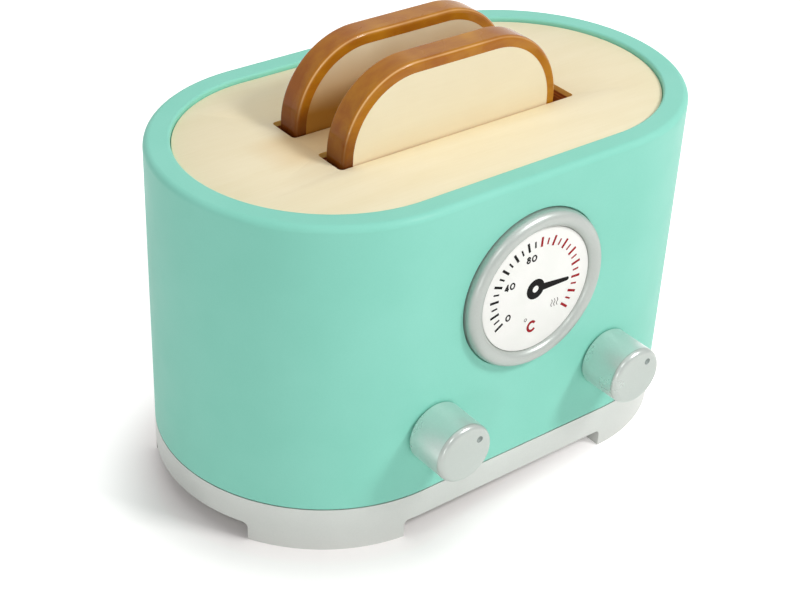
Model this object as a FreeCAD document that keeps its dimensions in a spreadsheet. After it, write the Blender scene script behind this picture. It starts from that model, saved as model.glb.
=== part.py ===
"""Wooden toy toaster: a racetrack shell on a footed plinth, with a pop-up carriage inside.

X runs along the length, -Y is the front with the gauge and the knobs, +Z is up. The origin is
under the middle of the overall box, on the surface that the toaster stands on. Millimetres.
"""

import FreeCAD, Part
import math
import os
from types import SimpleNamespace
import Sketcher

V = FreeCAD.Vector

# Driving sizes. Everything else follows from these.
SIZES = {
    # housing
    "overall_length": 220.0,
    "overall_width": 130.0,
    "rim_height": 137.0,
    "seam_height": 18.6,
    "rim_wall": 9.7,
    "shell_wall": 14.0,
    "rim_round": 3.0,
    "rim_inner_round": 1.2,
    "seam_chamfer": 0.5,
    "panel_recess": 1.8,
    "panel_thickness": 9.0,
    "panel_clearance": 0.25,
    # plinth and its feet
    "plinth_wall": 16.0,
    "foot_height": 7.4,
    "notch_left": 53.0,
    "notch_right": 45.0,
    "end_notch_width": 65.4,
    "notch_round": 2.0,
    "board_thickness": 6.0,
    "board_clearance": 0.3,
    "base_screw_inset": 5.5,
    "base_screw_angle": 56.0,
    "base_screw_sink": 6.0,
    "sink_clearance": 0.3,
    "base_screw_length": 28.0,
    # gauge
    "gauge_drop": 45.5,
    "bezel_radius": 31.4,
    "bezel_proud": 4.2,
    "bezel_gap": 0.4,
    "dial_radius": 25.1,
    "dial_proud": 2.2,
    "dial_clearance": 0.1,
    "gauge_recess": 1.5,
    # knobs and their shafts
    "knob_spacing": 83.6,
    "knob_height": 45.5,
    "knob_radius": 11.8,
    "knob_reach": 18.5,
    "knob_gap": 0.5,
    "knob_round": 2.2,
    "knob_socket": 12.0,
    "dimple_radius": 2.4,
    "dimple_depth": 0.7,
    "dimple_offset": 7.3,
    "dimple_angle_left": 40.0,
    "dimple_angle_right": 52.0,
    "shaft_radius": 4.0,
    "running_clearance": 0.06,
    "bush_wall": 2.5,
    "bush_flange": 2.0,
    "flange_radius": 8.5,
    "side_play": 0.3,
    # release cam and latch
    "cam_thickness": 4.0,
    "cam_hub_radius": 8.0,
    "cam_tip_radius": 3.0,
    "latch_thickness": 8.3,
    "latch_half_width": 4.0,
    "latch_tilt": 15.0,
    "latch_pivot_from_knob": 23.8,
    "latch_pivot_height": 8.4,
    "latch_nose": 3.5,
    "latch_nose_height": 5.7,
    "latch_head": 11.0,
    "latch_pin_radius": 2.0,
    "bracket_ear": 1.6,
    "bracket_plate": 2.0,
    "bracket_length": 28.0,
    "leaf_thickness": 0.8,
    # click wheel of the browning knob
    "wheel_radius": 11.0,
    "wheel_clicks": 12.0,
    "click_radius": 1.8,
    "click_depth": 1.1,
    # bread slots, slices and carriage
    "slot_spacing": 28.5,
    "slot_round": 1.5,
    "slot_side_room": 3.1,
    "slot_end_room": 10.6,
    "slice_width": 98.0,
    "slice_height": 95.0,
    "slice_thickness": 11.0,
    "slice_top_round": 31.0,
    "slice_foot_round": 5.0,
    "slice_edge_round": 1.4,
    "slice_show": 32.8,
    "slice_side_gap": 0.5,
    "slice_end_gap": 1.4,
    "carriage_thickness": 10.0,
    "carriage_overhang": 4.7,
    "arm_width": 18.0,
    "arm_end": 9.0,
    "stop_gap": 0.3,
    "rod_radius": 4.0,
    "rod_from_slot": 13.0,
    "rod_socket": 5.0,
    "rod_foot": 3.0,
    "slide_clearance": 0.08,
    "sleeve_wall": 2.0,
    "spacer_wall": 3.0,
    "spring_radius": 6.5,
    "spring_wire": 0.8,
    "spring_turns": 8.0,
    "spring_packed": 16.4,
    "guide_thickness": 6.0,
    "guide_setback": 0.2,
    "guide_overlap": 2.0,
    "guide_lift": 8.0,
    "catch_plate": 2.0,
    "catch_width": 11.0,
    "catch_thickness": 4.0,
    "catch_drop": 2.0,
    # screws
    "screw_radius": 1.5,
    "screw_head_radius": 3.0,
    "screw_head_height": 1.6,
    "screw_grip": 4.5,
    "long_screw_grip": 12.0,
    "wood_screw_radius": 1.75,
    "wood_screw_head": 3.4,
    "wood_screw_head_height": 2.5,
}

doc = FreeCAD.newDocument("toy_toaster")
sheet = doc.addObject("Spreadsheet::Sheet", "dims")
for row, (alias, number) in enumerate(SIZES.items(), start=1):
    sheet.set(f"A{row}", alias)
    sheet.set(f"B{row}", str(number))
    sheet.setAlias(f"B{row}", alias)
doc.recompute()


class Size:
    """A length or angle that holds its value and the spreadsheet expression it comes from."""

    def __init__(self, value, text):
        self.value = value
        self.text = text

    @staticmethod
    def of(other):
        return other if isinstance(other, Size) else Size(float(other), repr(float(other)))

    def __add__(self, other):
        other = Size.of(other)
        return Size(self.value + other.value, f"({self.text} + {other.text})")

    def __sub__(self, other):
        other = Size.of(other)
        return Size(self.value - other.value, f"({self.text} - {other.text})")

    def __mul__(self, other):
        other = Size.of(other)
        return Size(self.value * other.value, f"({self.text} * {other.text})")

    def __truediv__(self, other):
        other = Size.of(other)
        return Size(self.value / other.value, f"({self.text} / {other.text})")

    def __neg__(self):
        return Size(-self.value, f"(-1 * {self.text})")


# The spreadsheet's cells by their aliases.
dims = SimpleNamespace(**{alias: Size(float(sheet.get(alias)), f"dims.{alias}") for alias in SIZES})


def sine(angle):
    return Size(math.sin(math.radians(angle.value)), f"sin({angle.text})")


def cosine(angle):
    return Size(math.cos(math.radians(angle.value)), f"cos({angle.text})")


ZERO = Size.of(0)

# Heights and planes that several pieces share, measured from the middle of the racetrack.
LENGTH = dims.overall_length
WIDTH = dims.overall_width
CENTRE_Y = dims.knob_reach / 2
FRONT = -(WIDTH / 2)
FRONT_INSIDE = FRONT + dims.shell_wall
FLOOR = dims.seam_height
PANEL_TOP = dims.rim_height - dims.panel_recess
PANEL_UNDER = PANEL_TOP - dims.panel_thickness
GAUGE_Z = dims.rim_height - dims.gauge_drop
KNOB_X = dims.knob_spacing / 2
KNOB_Z = dims.knob_height
KNOB_BACK = FRONT - dims.knob_gap
FLANGE_INSIDE = FRONT_INSIDE + dims.bush_flange
CAM_FRONT = FLANGE_INSIDE + dims.side_play
CAM_BACK = CAM_FRONT + dims.cam_thickness
SLOT_LENGTH = dims.slice_width + dims.slot_end_room
SLOT_WIDTH = dims.slice_thickness + dims.slot_side_room
SLICE_X = -(SLOT_LENGTH / 2) + dims.slice_end_gap + dims.slice_width / 2
CARRIAGE_TOP = PANEL_TOP + dims.slice_show - dims.slice_height
CARRIAGE_UNDER = CARRIAGE_TOP - dims.carriage_thickness
CARRIAGE_HALF_Y = (dims.slot_spacing + SLOT_WIDTH) / 2 + dims.carriage_overhang
ROD_X = SLOT_LENGTH / 2 + dims.rod_from_slot
PIVOT_X = KNOB_X - dims.latch_pivot_from_knob
PIVOT_Z = FLOOR + dims.latch_pivot_height
CATCH_DOWN = FLOOR + dims.spring_packed + dims.catch_drop + dims.catch_thickness
LATCH_FRONT = CAM_FRONT
LATCH_BACK = LATCH_FRONT + dims.latch_thickness

nodes = {}


def bind(item, prop, amount):
    """Tie a property of an object to an amount's spreadsheet expression."""
    item.setExpression(prop, Size.of(amount).text)


def place(item, x, y, z, axis=None, angle=ZERO):
    """Put an object at a point given from the racetrack's middle, turned about an axis."""
    if axis is not None:
        item.Placement = FreeCAD.Placement(V(), FreeCAD.Rotation(V(*axis), Size.of(angle).value))
        bind(item, "Placement.Rotation.Angle", Size.of(angle))
    bind(item, "Placement.Base.x", x)
    bind(item, "Placement.Base.y", CENTRE_Y + y)
    bind(item, "Placement.Base.z", z)
    return item


def node(name, item):
    """Name a finished sub-part."""
    item.Label = name
    nodes[name] = item
    return item


# ---------------------------------------------------------------- primitives and booleans


def box(name, x, y, z, length, width, height):
    """A block by its lowest corner and its three sizes."""
    item = doc.addObject("Part::Box", name)
    bind(item, "Length", length)
    bind(item, "Width", width)
    bind(item, "Height", height)
    return place(item, Size.of(x), Size.of(y), Size.of(z))


def rod(name, x, y, z, radius, length, along="Z"):
    """A round bar from a point, along +Z or along +Y."""
    item = doc.addObject("Part::Cylinder", name)
    bind(item, "Radius", radius)
    bind(item, "Height", length)
    if along == "Y":
        return place(item, Size.of(x), Size.of(y), Size.of(z), (-1, 0, 0), 90)
    return place(item, Size.of(x), Size.of(y), Size.of(z))


def fuse(name, *parts):
    item = doc.addObject("Part::MultiFuse", name)
    item.Shapes = list(parts)
    return item


def cut(name, base, *tools):
    item = doc.addObject("Part::Cut", name)
    item.Base = base
    item.Tool = tools[0] if len(tools) == 1 else fuse(name + "_tools", *tools)
    return item


def tube(name, x, y, z, radius, bore, length, along="Z"):
    """A round bar with a bore right through it."""
    outer = rod(name + "_outer", x, y, z, radius, length, along)
    inner = rod(name + "_inner", x, y, z, bore, length, along)
    return cut(name, outer, inner)


# ---------------------------------------------------------------- sketched bodies


def new_body(name):
    return doc.addObject("PartDesign::Body", name)


def new_sketch(body, name, role, offset=ZERO):
    """A sketch on one of the body's own origin planes, moved along that plane's normal."""
    sketch = body.newObject("Sketcher::SketchObject", name)
    plane = next(f for f in body.Origin.OriginFeatures if f.Role == role)
    sketch.AttachmentSupport = [(plane, "")]
    sketch.MapMode = "FlatFace"
    bind(sketch, "AttachmentOffset.Base.z", offset)
    return sketch


def hold(sketch, kind, *args):
    """A dimension of a sketch whose last argument is a Size."""
    amount = Size.of(args[-1])
    index = sketch.addConstraint(Sketcher.Constraint(kind, *args[:-1], amount.value))
    bind(sketch, f"Constraints[{index}]", amount)


def draw_circle(sketch, x, y, radius):
    x, y, radius = Size.of(x), Size.of(y), Size.of(radius)
    ring = sketch.addGeometry(Part.Circle(V(x.value, y.value, 0), V(0, 0, 1), radius.value))
    hold(sketch, "Radius", ring, radius)
    hold(sketch, "DistanceX", -1, 1, ring, 3, x)
    hold(sketch, "DistanceY", -1, 1, ring, 3, y)


def draw_rectangle(sketch, x0, y0, x1, y1):
    x0, y0, x1, y1 = (Size.of(n) for n in (x0, y0, x1, y1))
    corners = [(x0, y0), (x1, y0), (x1, y1), (x0, y1)]
    points = [V(x.value, y.value, 0) for x, y in corners]
    lines = [sketch.addGeometry(Part.LineSegment(points[i], points[(i + 1) % 4])) for i in range(4)]
    for i, line in enumerate(lines):
        sketch.addConstraint(Sketcher.Constraint("Coincident", line, 2, lines[(i + 1) % 4], 1))
        sketch.addConstraint(Sketcher.Constraint("Vertical" if i % 2 else "Horizontal", line))
    hold(sketch, "DistanceX", -1, 1, lines[0], 1, x0)
    hold(sketch, "DistanceY", -1, 1, lines[0], 1, y0)
    hold(sketch, "DistanceX", -1, 1, lines[2], 1, x1)
    hold(sketch, "DistanceY", -1, 1, lines[2], 1, y1)


def draw_racetrack(sketch, length, width):
    """Two straight sides and two half circles, centred on the sketch's origin."""
    length, width = Size.of(length), Size.of(width)
    radius = width / 2
    centre = (length - width) / 2
    up, side = V(0, 0, 1), centre.value
    quarter = math.pi / 2
    top = sketch.addGeometry(Part.LineSegment(V(-side, radius.value, 0), V(side, radius.value, 0)))
    right_ring = Part.Circle(V(side, 0, 0), up, radius.value)
    right = sketch.addGeometry(Part.ArcOfCircle(right_ring, -quarter, quarter))
    base = sketch.addGeometry(Part.LineSegment(V(side, -radius.value, 0), V(-side, -radius.value, 0)))
    left_ring = Part.Circle(V(-side, 0, 0), up, radius.value)
    left = sketch.addGeometry(Part.ArcOfCircle(left_ring, quarter, 3 * quarter))
    joins = ((top, 2, right, 2), (right, 1, base, 1), (base, 2, left, 2), (left, 1, top, 1))
    for first, end, second, start in joins:
        sketch.addConstraint(Sketcher.Constraint("Tangent", first, end, second, start))
    for arc in (right, left):
        sketch.addConstraint(Sketcher.Constraint("PointOnObject", arc, 3, -1))
    hold(sketch, "Radius", right, radius)
    hold(sketch, "DistanceX", -1, 1, right, 3, centre)
    hold(sketch, "DistanceX", left, 3, -1, 1, centre)


def pad(body, sketch, length, reverse=False):
    item = body.newObject("PartDesign::Pad", sketch.Name + "_pad")
    item.Profile = sketch
    item.Reversed = reverse
    bind(item, "Length", length)
    doc.recompute()
    return item


def pocket(body, sketch, length, reverse=False):
    """Cut a sketch into the body; a pocket that removes nothing is an error."""
    before = body.Shape.Volume
    item = body.newObject("PartDesign::Pocket", sketch.Name + "_pocket")
    item.Profile = sketch
    item.Reversed = reverse
    bind(item, "Length", length)
    doc.recompute()
    if body.Shape.Volume > before - 1e-3:
        raise ValueError(f"{sketch.Name} cuts nothing")
    return item


def dress(body, kind, name, wanted, amount):
    """Fillet or chamfer the edges of the body's last feature that pass a test."""
    base = body.Tip
    names = [f"Edge{i}" for i, edge in enumerate(base.Shape.Edges, start=1) if wanted(edge)]
    if not names:
        raise ValueError(f"{name} finds no edge")
    item = body.newObject("PartDesign::" + kind, name)
    item.Base = (base, names)
    bind(item, "Radius" if kind == "Fillet" else "Size", amount)
    doc.recompute()
    return item


def at_height(z, inside=None, outside=None):
    """A test for edges that lie at one height, within or beyond a half width in Y."""

    def test(edge):
        bounds = edge.BoundBox
        if abs(bounds.ZMin - z) > 1e-4 or abs(bounds.ZMax - z) > 1e-4:
            return False
        reach = max(abs(bounds.YMin), abs(bounds.YMax))
        return (inside is None or reach < inside) and (outside is None or reach > outside)

    return test


# ---------------------------------------------------------------- housing


def build_base_screws():
    """Four wood screws up through the feet, and the sinks that their heads go in by."""
    ring = WIDTH / 2 - dims.base_screw_inset
    across = (LENGTH - WIDTH) / 2 + ring * cosine(dims.base_screw_angle)
    along = ring * sine(dims.base_screw_angle)
    sink = dims.base_screw_sink
    head = dims.wood_screw_head_height
    screws, sinks = [], []
    for side_x, side_y in ((-1, -1), (1, -1), (1, 1), (-1, 1)):
        x, y = across * side_x, along * side_y
        tag = f"base_screw_{len(screws)}"
        top = rod(tag + "_head", x, y, sink, dims.wood_screw_head, head)
        shank = rod(tag + "_shank", x, y, sink + head, dims.wood_screw_radius, dims.base_screw_length)
        screws.append(fuse(tag, top, shank))
        sinks.append(rod(tag + "_sink", x, y, ZERO, dims.wood_screw_head + dims.sink_clearance, sink))
    group = fuse("base_screw_group", *screws)
    return node("base_screws", group), sinks


def build_plinth(screws, sinks):
    """Silver base ring: a ledge for the floor board, and notches that leave four feet."""
    body = new_body("plinth_body")
    outline = new_sketch(body, "plinth_outline", "XY_Plane")
    draw_racetrack(outline, LENGTH, WIDTH)
    pad(body, outline, FLOOR)
    opening = new_sketch(body, "plinth_opening", "XY_Plane", FLOOR)
    wall = dims.plinth_wall * 2
    draw_racetrack(opening, LENGTH - wall, WIDTH - wall)
    pocket(body, opening, FLOOR)
    ledge = new_sketch(body, "plinth_ledge", "XY_Plane", FLOOR)
    rim = dims.rim_wall * 2
    draw_racetrack(ledge, LENGTH - rim, WIDTH - rim)
    pocket(body, ledge, dims.board_thickness)
    front_notch = new_sketch(body, "front_notch", "XZ_Plane", WIDTH)
    draw_rectangle(front_notch, -dims.notch_left, -dims.foot_height, dims.notch_right, dims.foot_height)
    pocket(body, front_notch, WIDTH * 2)
    end_notch = new_sketch(body, "end_notch", "YZ_Plane", LENGTH)
    half = dims.end_notch_width / 2
    draw_rectangle(end_notch, -half, -dims.foot_height, half, dims.foot_height)
    pocket(body, end_notch, LENGTH * 2)
    top = dims.foot_height.value
    sides = (-dims.notch_left.value, dims.notch_right.value)
    ends = (-half.value, half.value)

    def notch_corner(edge):
        bounds = edge.BoundBox
        level = abs(bounds.ZMin - top) < 1e-4 and abs(bounds.ZMax - top) < 1e-4
        across = any(abs(bounds.XMin - x) < 1e-4 and abs(bounds.XMax - x) < 1e-4 for x in sides)
        lengthwise = any(abs(bounds.YMin - y) < 1e-4 and abs(bounds.YMax - y) < 1e-4 for y in ends)
        return level and (across or lengthwise)

    dress(body, "Fillet", "notch_fillet", notch_corner, dims.notch_round)
    outer = WIDTH.value / 2 - dims.rim_wall.value / 2
    dress(body, "Chamfer", "plinth_chamfer", at_height(FLOOR.value, outside=outer), dims.seam_chamfer)
    place(body, ZERO, ZERO, ZERO)
    return node("base_plinth", cut("plinth_cut", body, screws, *sinks))


def build_shell(screws, bushes):
    """Mint shell: a thick racetrack wall with a rabbet for the top panel and seats for the bushes."""
    body = new_body("shell_body")
    outline = new_sketch(body, "shell_outline", "XY_Plane", FLOOR)
    draw_racetrack(outline, LENGTH, WIDTH)
    pad(body, outline, dims.rim_height - FLOOR)
    inside = new_sketch(body, "shell_inside", "XY_Plane", dims.rim_height)
    wall = dims.shell_wall * 2
    draw_racetrack(inside, LENGTH - wall, WIDTH - wall)
    pocket(body, inside, dims.rim_height - FLOOR)
    rabbet = new_sketch(body, "shell_rabbet", "XY_Plane", dims.rim_height)
    rim = dims.rim_wall * 2
    draw_racetrack(rabbet, LENGTH - rim, WIDTH - rim)
    pocket(body, rabbet, dims.panel_recess + dims.panel_thickness)
    recess = new_sketch(body, "gauge_recess", "XZ_Plane", WIDTH / 2 + dims.knob_reach)
    draw_circle(recess, ZERO, GAUGE_Z, dims.bezel_radius + dims.bezel_gap)
    pocket(body, recess, dims.knob_reach + dims.gauge_recess)
    middle = WIDTH.value / 2 - dims.rim_wall.value / 2
    rim_z = dims.rim_height.value
    dress(body, "Fillet", "rim_fillet", at_height(rim_z, outside=middle), dims.rim_round)
    dress(body, "Fillet", "rim_inner_fillet", at_height(rim_z, inside=middle), dims.rim_inner_round)
    dress(body, "Chamfer", "shell_chamfer", at_height(FLOOR.value, outside=middle), dims.seam_chamfer / 2)
    place(body, ZERO, ZERO, ZERO)
    return node("body_shell", cut("shell_cut", body, screws, *bushes))


def build_top_panel(rods):
    """Wooden top with two bread slots, and sockets in its underside for the guide rods."""
    body = new_body("panel_body")
    outline = new_sketch(body, "panel_outline", "XY_Plane", PANEL_UNDER)
    edge = (dims.rim_wall + dims.panel_clearance) * 2
    draw_racetrack(outline, LENGTH - edge, WIDTH - edge)
    pad(body, outline, dims.panel_thickness)
    slot = new_sketch(body, "bread_slot", "XY_Plane", PANEL_TOP)
    near = (dims.slot_spacing - SLOT_WIDTH) / 2
    draw_rectangle(slot, -(SLOT_LENGTH / 2), near, SLOT_LENGTH / 2, near + SLOT_WIDTH)
    first = pocket(body, slot, dims.panel_thickness)
    mirrored = body.newObject("PartDesign::Mirrored", "second_slot")
    mirrored.Originals = [first]
    mirrored.MirrorPlane = (next(f for f in body.Origin.OriginFeatures if f.Role == "XZ_Plane"), [""])
    body.Tip = mirrored
    doc.recompute()
    end = SLOT_LENGTH.value / 2

    def slot_corner(line):
        bounds = line.BoundBox
        upright = bounds.ZLength > 1 and bounds.XLength < 1e-4 and bounds.YLength < 1e-4
        return upright and abs(abs(bounds.XMin) - end) < 1e-4

    dress(body, "Fillet", "slot_corners", slot_corner, dims.slot_round)
    place(body, ZERO, ZERO, ZERO)
    return node("top_panel", cut("panel_cut", body, rods))


def build_floor_board(*fixings):
    """Plywood floor that the mechanism stands on, clamped between plinth and shell."""
    body = new_body("floor_body")
    outline = new_sketch(body, "floor_outline", "XY_Plane", FLOOR)
    edge = (dims.rim_wall + dims.board_clearance) * 2
    draw_racetrack(outline, LENGTH - edge, WIDTH - edge)
    pad(body, outline, dims.board_thickness, reverse=True)
    place(body, ZERO, ZERO, ZERO)
    return node("floor_board", cut("floor_cut", body, *fixings))


# ---------------------------------------------------------------- gauge


def build_gauge():
    """Round-sectioned silver ring and the flat dial inside it, both seated in the shell."""
    body = new_body("bezel_body")
    ring = new_sketch(body, "bezel_ring", "XZ_Plane", -dims.gauge_recess)
    draw_circle(ring, ZERO, ZERO, dims.bezel_radius)
    draw_circle(ring, ZERO, ZERO, dims.dial_radius)
    depth = dims.gauge_recess + dims.bezel_proud
    pad(body, ring, depth)
    face = -dims.bezel_proud.value

    def front_edge(edge):
        return abs(edge.BoundBox.YMin - face) < 1e-4 and abs(edge.BoundBox.YMax - face) < 1e-4

    round_over = (dims.bezel_radius - dims.dial_radius) * 0.46
    dress(body, "Fillet", "bezel_round", front_edge, round_over)
    place(body, ZERO, FRONT, GAUGE_Z)
    node("gauge_bezel", body)
    start = FRONT - dims.dial_proud
    length = dims.dial_proud + dims.gauge_recess
    radius = dims.dial_radius - dims.dial_clearance
    node("gauge_dial", rod("dial_disc", ZERO, start, GAUGE_Z, radius, length, "Y"))


# ---------------------------------------------------------------- knobs and shafts


def build_knob(name, x, dimple_angle):
    """A round knob with a softened edge, a pointer dimple and a socket for its shaft."""
    body = new_body(name + "_body")
    disc = new_sketch(body, name + "_disc", "XZ_Plane")
    draw_circle(disc, ZERO, ZERO, dims.knob_radius)
    length = dims.knob_reach - dims.knob_gap
    pad(body, disc, length)
    front = -length.value

    def rim(edge):
        return abs(edge.BoundBox.YMin - front) < 1e-4 and abs(edge.BoundBox.YMax - front) < 1e-4

    dress(body, "Fillet", name + "_round", rim, dims.knob_round)
    socket = new_sketch(body, name + "_socket", "XZ_Plane")
    draw_circle(socket, ZERO, ZERO, dims.shaft_radius)
    pocket(body, socket, dims.knob_socket, reverse=True)
    place(body, x, KNOB_BACK, KNOB_Z)
    ball = doc.addObject("Part::Sphere", name + "_dimple")
    bind(ball, "Radius", dims.dimple_radius)
    dimple_x = x + dims.dimple_offset * cosine(dimple_angle)
    dimple_z = KNOB_Z + dims.dimple_offset * sine(dimple_angle)
    dimple_y = FRONT - dims.knob_reach - dims.dimple_radius + dims.dimple_depth
    place(ball, dimple_x, dimple_y, dimple_z)
    return node(name, cut(name + "_cut", body, ball))


def build_shaft(prefix, x):
    """The shaft of one knob, the bush it turns in, and the screw that keeps it in."""
    start = KNOB_BACK - dims.knob_socket
    length = CAM_BACK - start
    bar = rod(prefix + "_bar", x, start, KNOB_Z, dims.shaft_radius, length, "Y")
    grip = dims.long_screw_grip
    shank = rod(prefix + "_thread", x, CAM_BACK - grip, KNOB_Z, dims.screw_radius, grip, "Y")
    head_radius = dims.shaft_radius + dims.screw_radius
    head = rod(prefix + "_head", x, CAM_BACK, KNOB_Z, head_radius, dims.screw_head_height, "Y")
    screw = node(prefix + "_shaft_screw", fuse(prefix + "_screw", shank, head))
    node(prefix + "_shaft", cut(prefix + "_shaft_cut", bar, screw))
    bore = dims.shaft_radius + dims.running_clearance
    sleeve = rod(prefix + "_sleeve", x, FRONT, KNOB_Z, bore + dims.bush_wall, dims.shell_wall, "Y")
    flange = rod(prefix + "_flange", x, FRONT_INSIDE, KNOB_Z, dims.flange_radius, dims.bush_flange, "Y")
    hole = rod(prefix + "_bore", x, FRONT, KNOB_Z, bore, dims.shell_wall + dims.bush_flange, "Y")
    solid = fuse(prefix + "_bush_solid", sleeve, flange)
    node(prefix + "_bush", cut(prefix + "_bush_cut", solid, hole))
    return solid


def build_click_wheel():
    """Scalloped wheel on the browning shaft: each scallop is one click."""
    x = -KNOB_X
    disc = rod("wheel_disc", x, CAM_FRONT, KNOB_Z, dims.wheel_radius, dims.cam_thickness, "Y")
    bore = rod("wheel_bore", x, CAM_FRONT, KNOB_Z, dims.shaft_radius, dims.cam_thickness, "Y")
    cuts = [bore]
    ring = dims.wheel_radius + dims.click_radius - dims.click_depth
    clicks = round(dims.wheel_clicks.value)
    for i in range(clicks):
        angle = Size.of(360) * i / dims.wheel_clicks - 90
        at_x, at_z = x + ring * cosine(angle), KNOB_Z + ring * sine(angle)
        scallop = rod(f"scallop_{i}", at_x, CAM_FRONT, at_z, dims.click_radius, dims.cam_thickness, "Y")
        cuts.append(scallop)
    node("click_wheel", cut("wheel_cut", disc, *cuts))


def build_click_spring():
    """Bent leaf whose bump sits in the lowest scallop of the click wheel."""
    bump_radius = dims.click_radius - dims.stop_gap
    bump_z = KNOB_Z - dims.wheel_radius - dims.click_radius + dims.click_depth
    leaf = dims.leaf_thickness
    thick = dims.cam_thickness
    level = bump_z - bump_radius
    riser_x = dims.wheel_radius - KNOB_X
    foot = box("click_foot", riser_x, CAM_FRONT, FLOOR, dims.wheel_radius, thick, leaf)
    riser = box("click_riser", riser_x, CAM_FRONT, FLOOR, leaf, thick, level - FLOOR + leaf)
    tongue_x = -KNOB_X - bump_radius
    tongue = box("click_tongue", tongue_x, CAM_FRONT, level, riser_x + leaf - tongue_x, thick, leaf)
    bump = rod("click_bump", -KNOB_X, CAM_FRONT, bump_z, bump_radius, thick, "Y")
    screw_x = riser_x + dims.wheel_radius - dims.screw_head_radius - leaf
    screw = plate_screw("click_screw", screw_x, CAM_FRONT + thick / 2, FLOOR + leaf)
    strip = fuse("click_strip", foot, riser, tongue, bump)
    node("click_spring", cut("click_spring_cut", strip, screw))
    return screw


def plate_screw(name, x, y, z):
    """A short screw down through a thin plate whose top is at height z."""
    grip = dims.screw_grip
    shank = rod(name + "_shank", x, y, z - grip, dims.screw_radius, grip)
    head = rod(name + "_head", x, y, z, dims.screw_head_radius, dims.screw_head_height)
    return fuse(name, shank, head)


# ---------------------------------------------------------------- latch


def build_release_cam():
    """Hub with a round-ended finger that holds the latch off the catch at rest."""
    reach = (dims.cam_tip_radius + dims.stop_gap + dims.latch_half_width)
    rise = KNOB_Z - PIVOT_Z
    tilt = dims.latch_tilt
    finger = KNOB_X - PIVOT_X - (reach - rise * sine(tilt)) / cosine(tilt)
    thick = dims.cam_thickness
    tip = dims.cam_tip_radius
    hub = rod("cam_hub", KNOB_X, CAM_FRONT, KNOB_Z, dims.cam_hub_radius, thick, "Y")
    arm = box("cam_arm", KNOB_X - finger, CAM_FRONT, KNOB_Z - tip, finger, thick, tip * 2)
    end = rod("cam_tip", KNOB_X - finger, CAM_FRONT, KNOB_Z, tip, thick, "Y")
    bore = rod("cam_bore", KNOB_X, CAM_FRONT, KNOB_Z, dims.shaft_radius, thick, "Y")
    node("release_cam", cut("cam_cut", fuse("cam_solid", hub, arm, end), bore))


def build_latch():
    """Upright lever on a pin: its nose hooks over the carriage's catch when it stands straight."""
    half = dims.latch_half_width
    thick = dims.latch_thickness
    body = new_body("latch_body")
    bar = new_sketch(body, "latch_bar", "XZ_Plane")
    nose_low = CATCH_DOWN + dims.stop_gap - PIVOT_Z
    nose_high = nose_low + dims.latch_nose_height
    draw_rectangle(bar, -half, ZERO, half, nose_high + dims.latch_head)
    pad(body, bar, thick, reverse=True)
    hub = new_sketch(body, "latch_hub", "XZ_Plane")
    draw_circle(hub, ZERO, ZERO, half + dims.latch_pin_radius / 2)
    pad(body, hub, thick, reverse=True)
    nose = new_sketch(body, "latch_nose_outline", "XZ_Plane", -(dims.cam_thickness + dims.stop_gap))
    draw_rectangle(nose, ZERO, nose_low, half + dims.latch_nose, nose_high)
    pad(body, nose, thick - dims.cam_thickness - dims.stop_gap, reverse=True)
    bore = new_sketch(body, "latch_bore", "XZ_Plane")
    draw_circle(bore, ZERO, ZERO, dims.latch_pin_radius + dims.running_clearance)
    pocket(body, bore, thick)
    place(body, PIVOT_X, LATCH_FRONT, PIVOT_Z, (0, -1, 0), dims.latch_tilt)
    node("latch_lever", body)


def build_latch_mount():
    """Bracket with two ears, the pivot pin through them, and the leaf that pushes the latch."""
    ear = dims.bracket_ear
    play = dims.side_play
    plate = dims.bracket_plate
    ear_half = dims.latch_half_width + dims.latch_pin_radius
    front_ear = LATCH_FRONT - play - ear
    back_ear = LATCH_BACK + play
    depth = back_ear + ear - front_ear
    left = PIVOT_X - dims.bracket_length / 2
    base = box("bracket_base", left, front_ear, FLOOR, dims.bracket_length, depth, plate)
    ear_height = PIVOT_Z - FLOOR + ear_half
    ears = [
        box(f"bracket_ear_{i}", PIVOT_X - ear_half, y, FLOOR, ear_half * 2, ear, ear_height)
        for i, y in enumerate((front_ear, back_ear))
    ]
    pivot = rod("pivot_pin", PIVOT_X, front_ear, PIVOT_Z, dims.latch_pin_radius, depth, "Y")
    pin = node("latch_pin", pivot)
    middle = (LATCH_FRONT + LATCH_BACK) / 2
    inset = dims.screw_head_radius + dims.leaf_thickness
    right_x = left + dims.bracket_length - inset
    right_screw = plate_screw("bracket_screw_right", right_x, middle, FLOOR + plate)
    leaf_top = FLOOR + plate + dims.leaf_thickness
    left_screw = plate_screw("bracket_screw_left", left + inset, middle, leaf_top)
    solid = fuse("bracket_solid", base, *ears)
    node("latch_bracket", cut("bracket_cut", solid, pin, left_screw, right_screw))
    build_latch_leaf(left, middle, left_screw)
    return left_screw, right_screw


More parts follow.
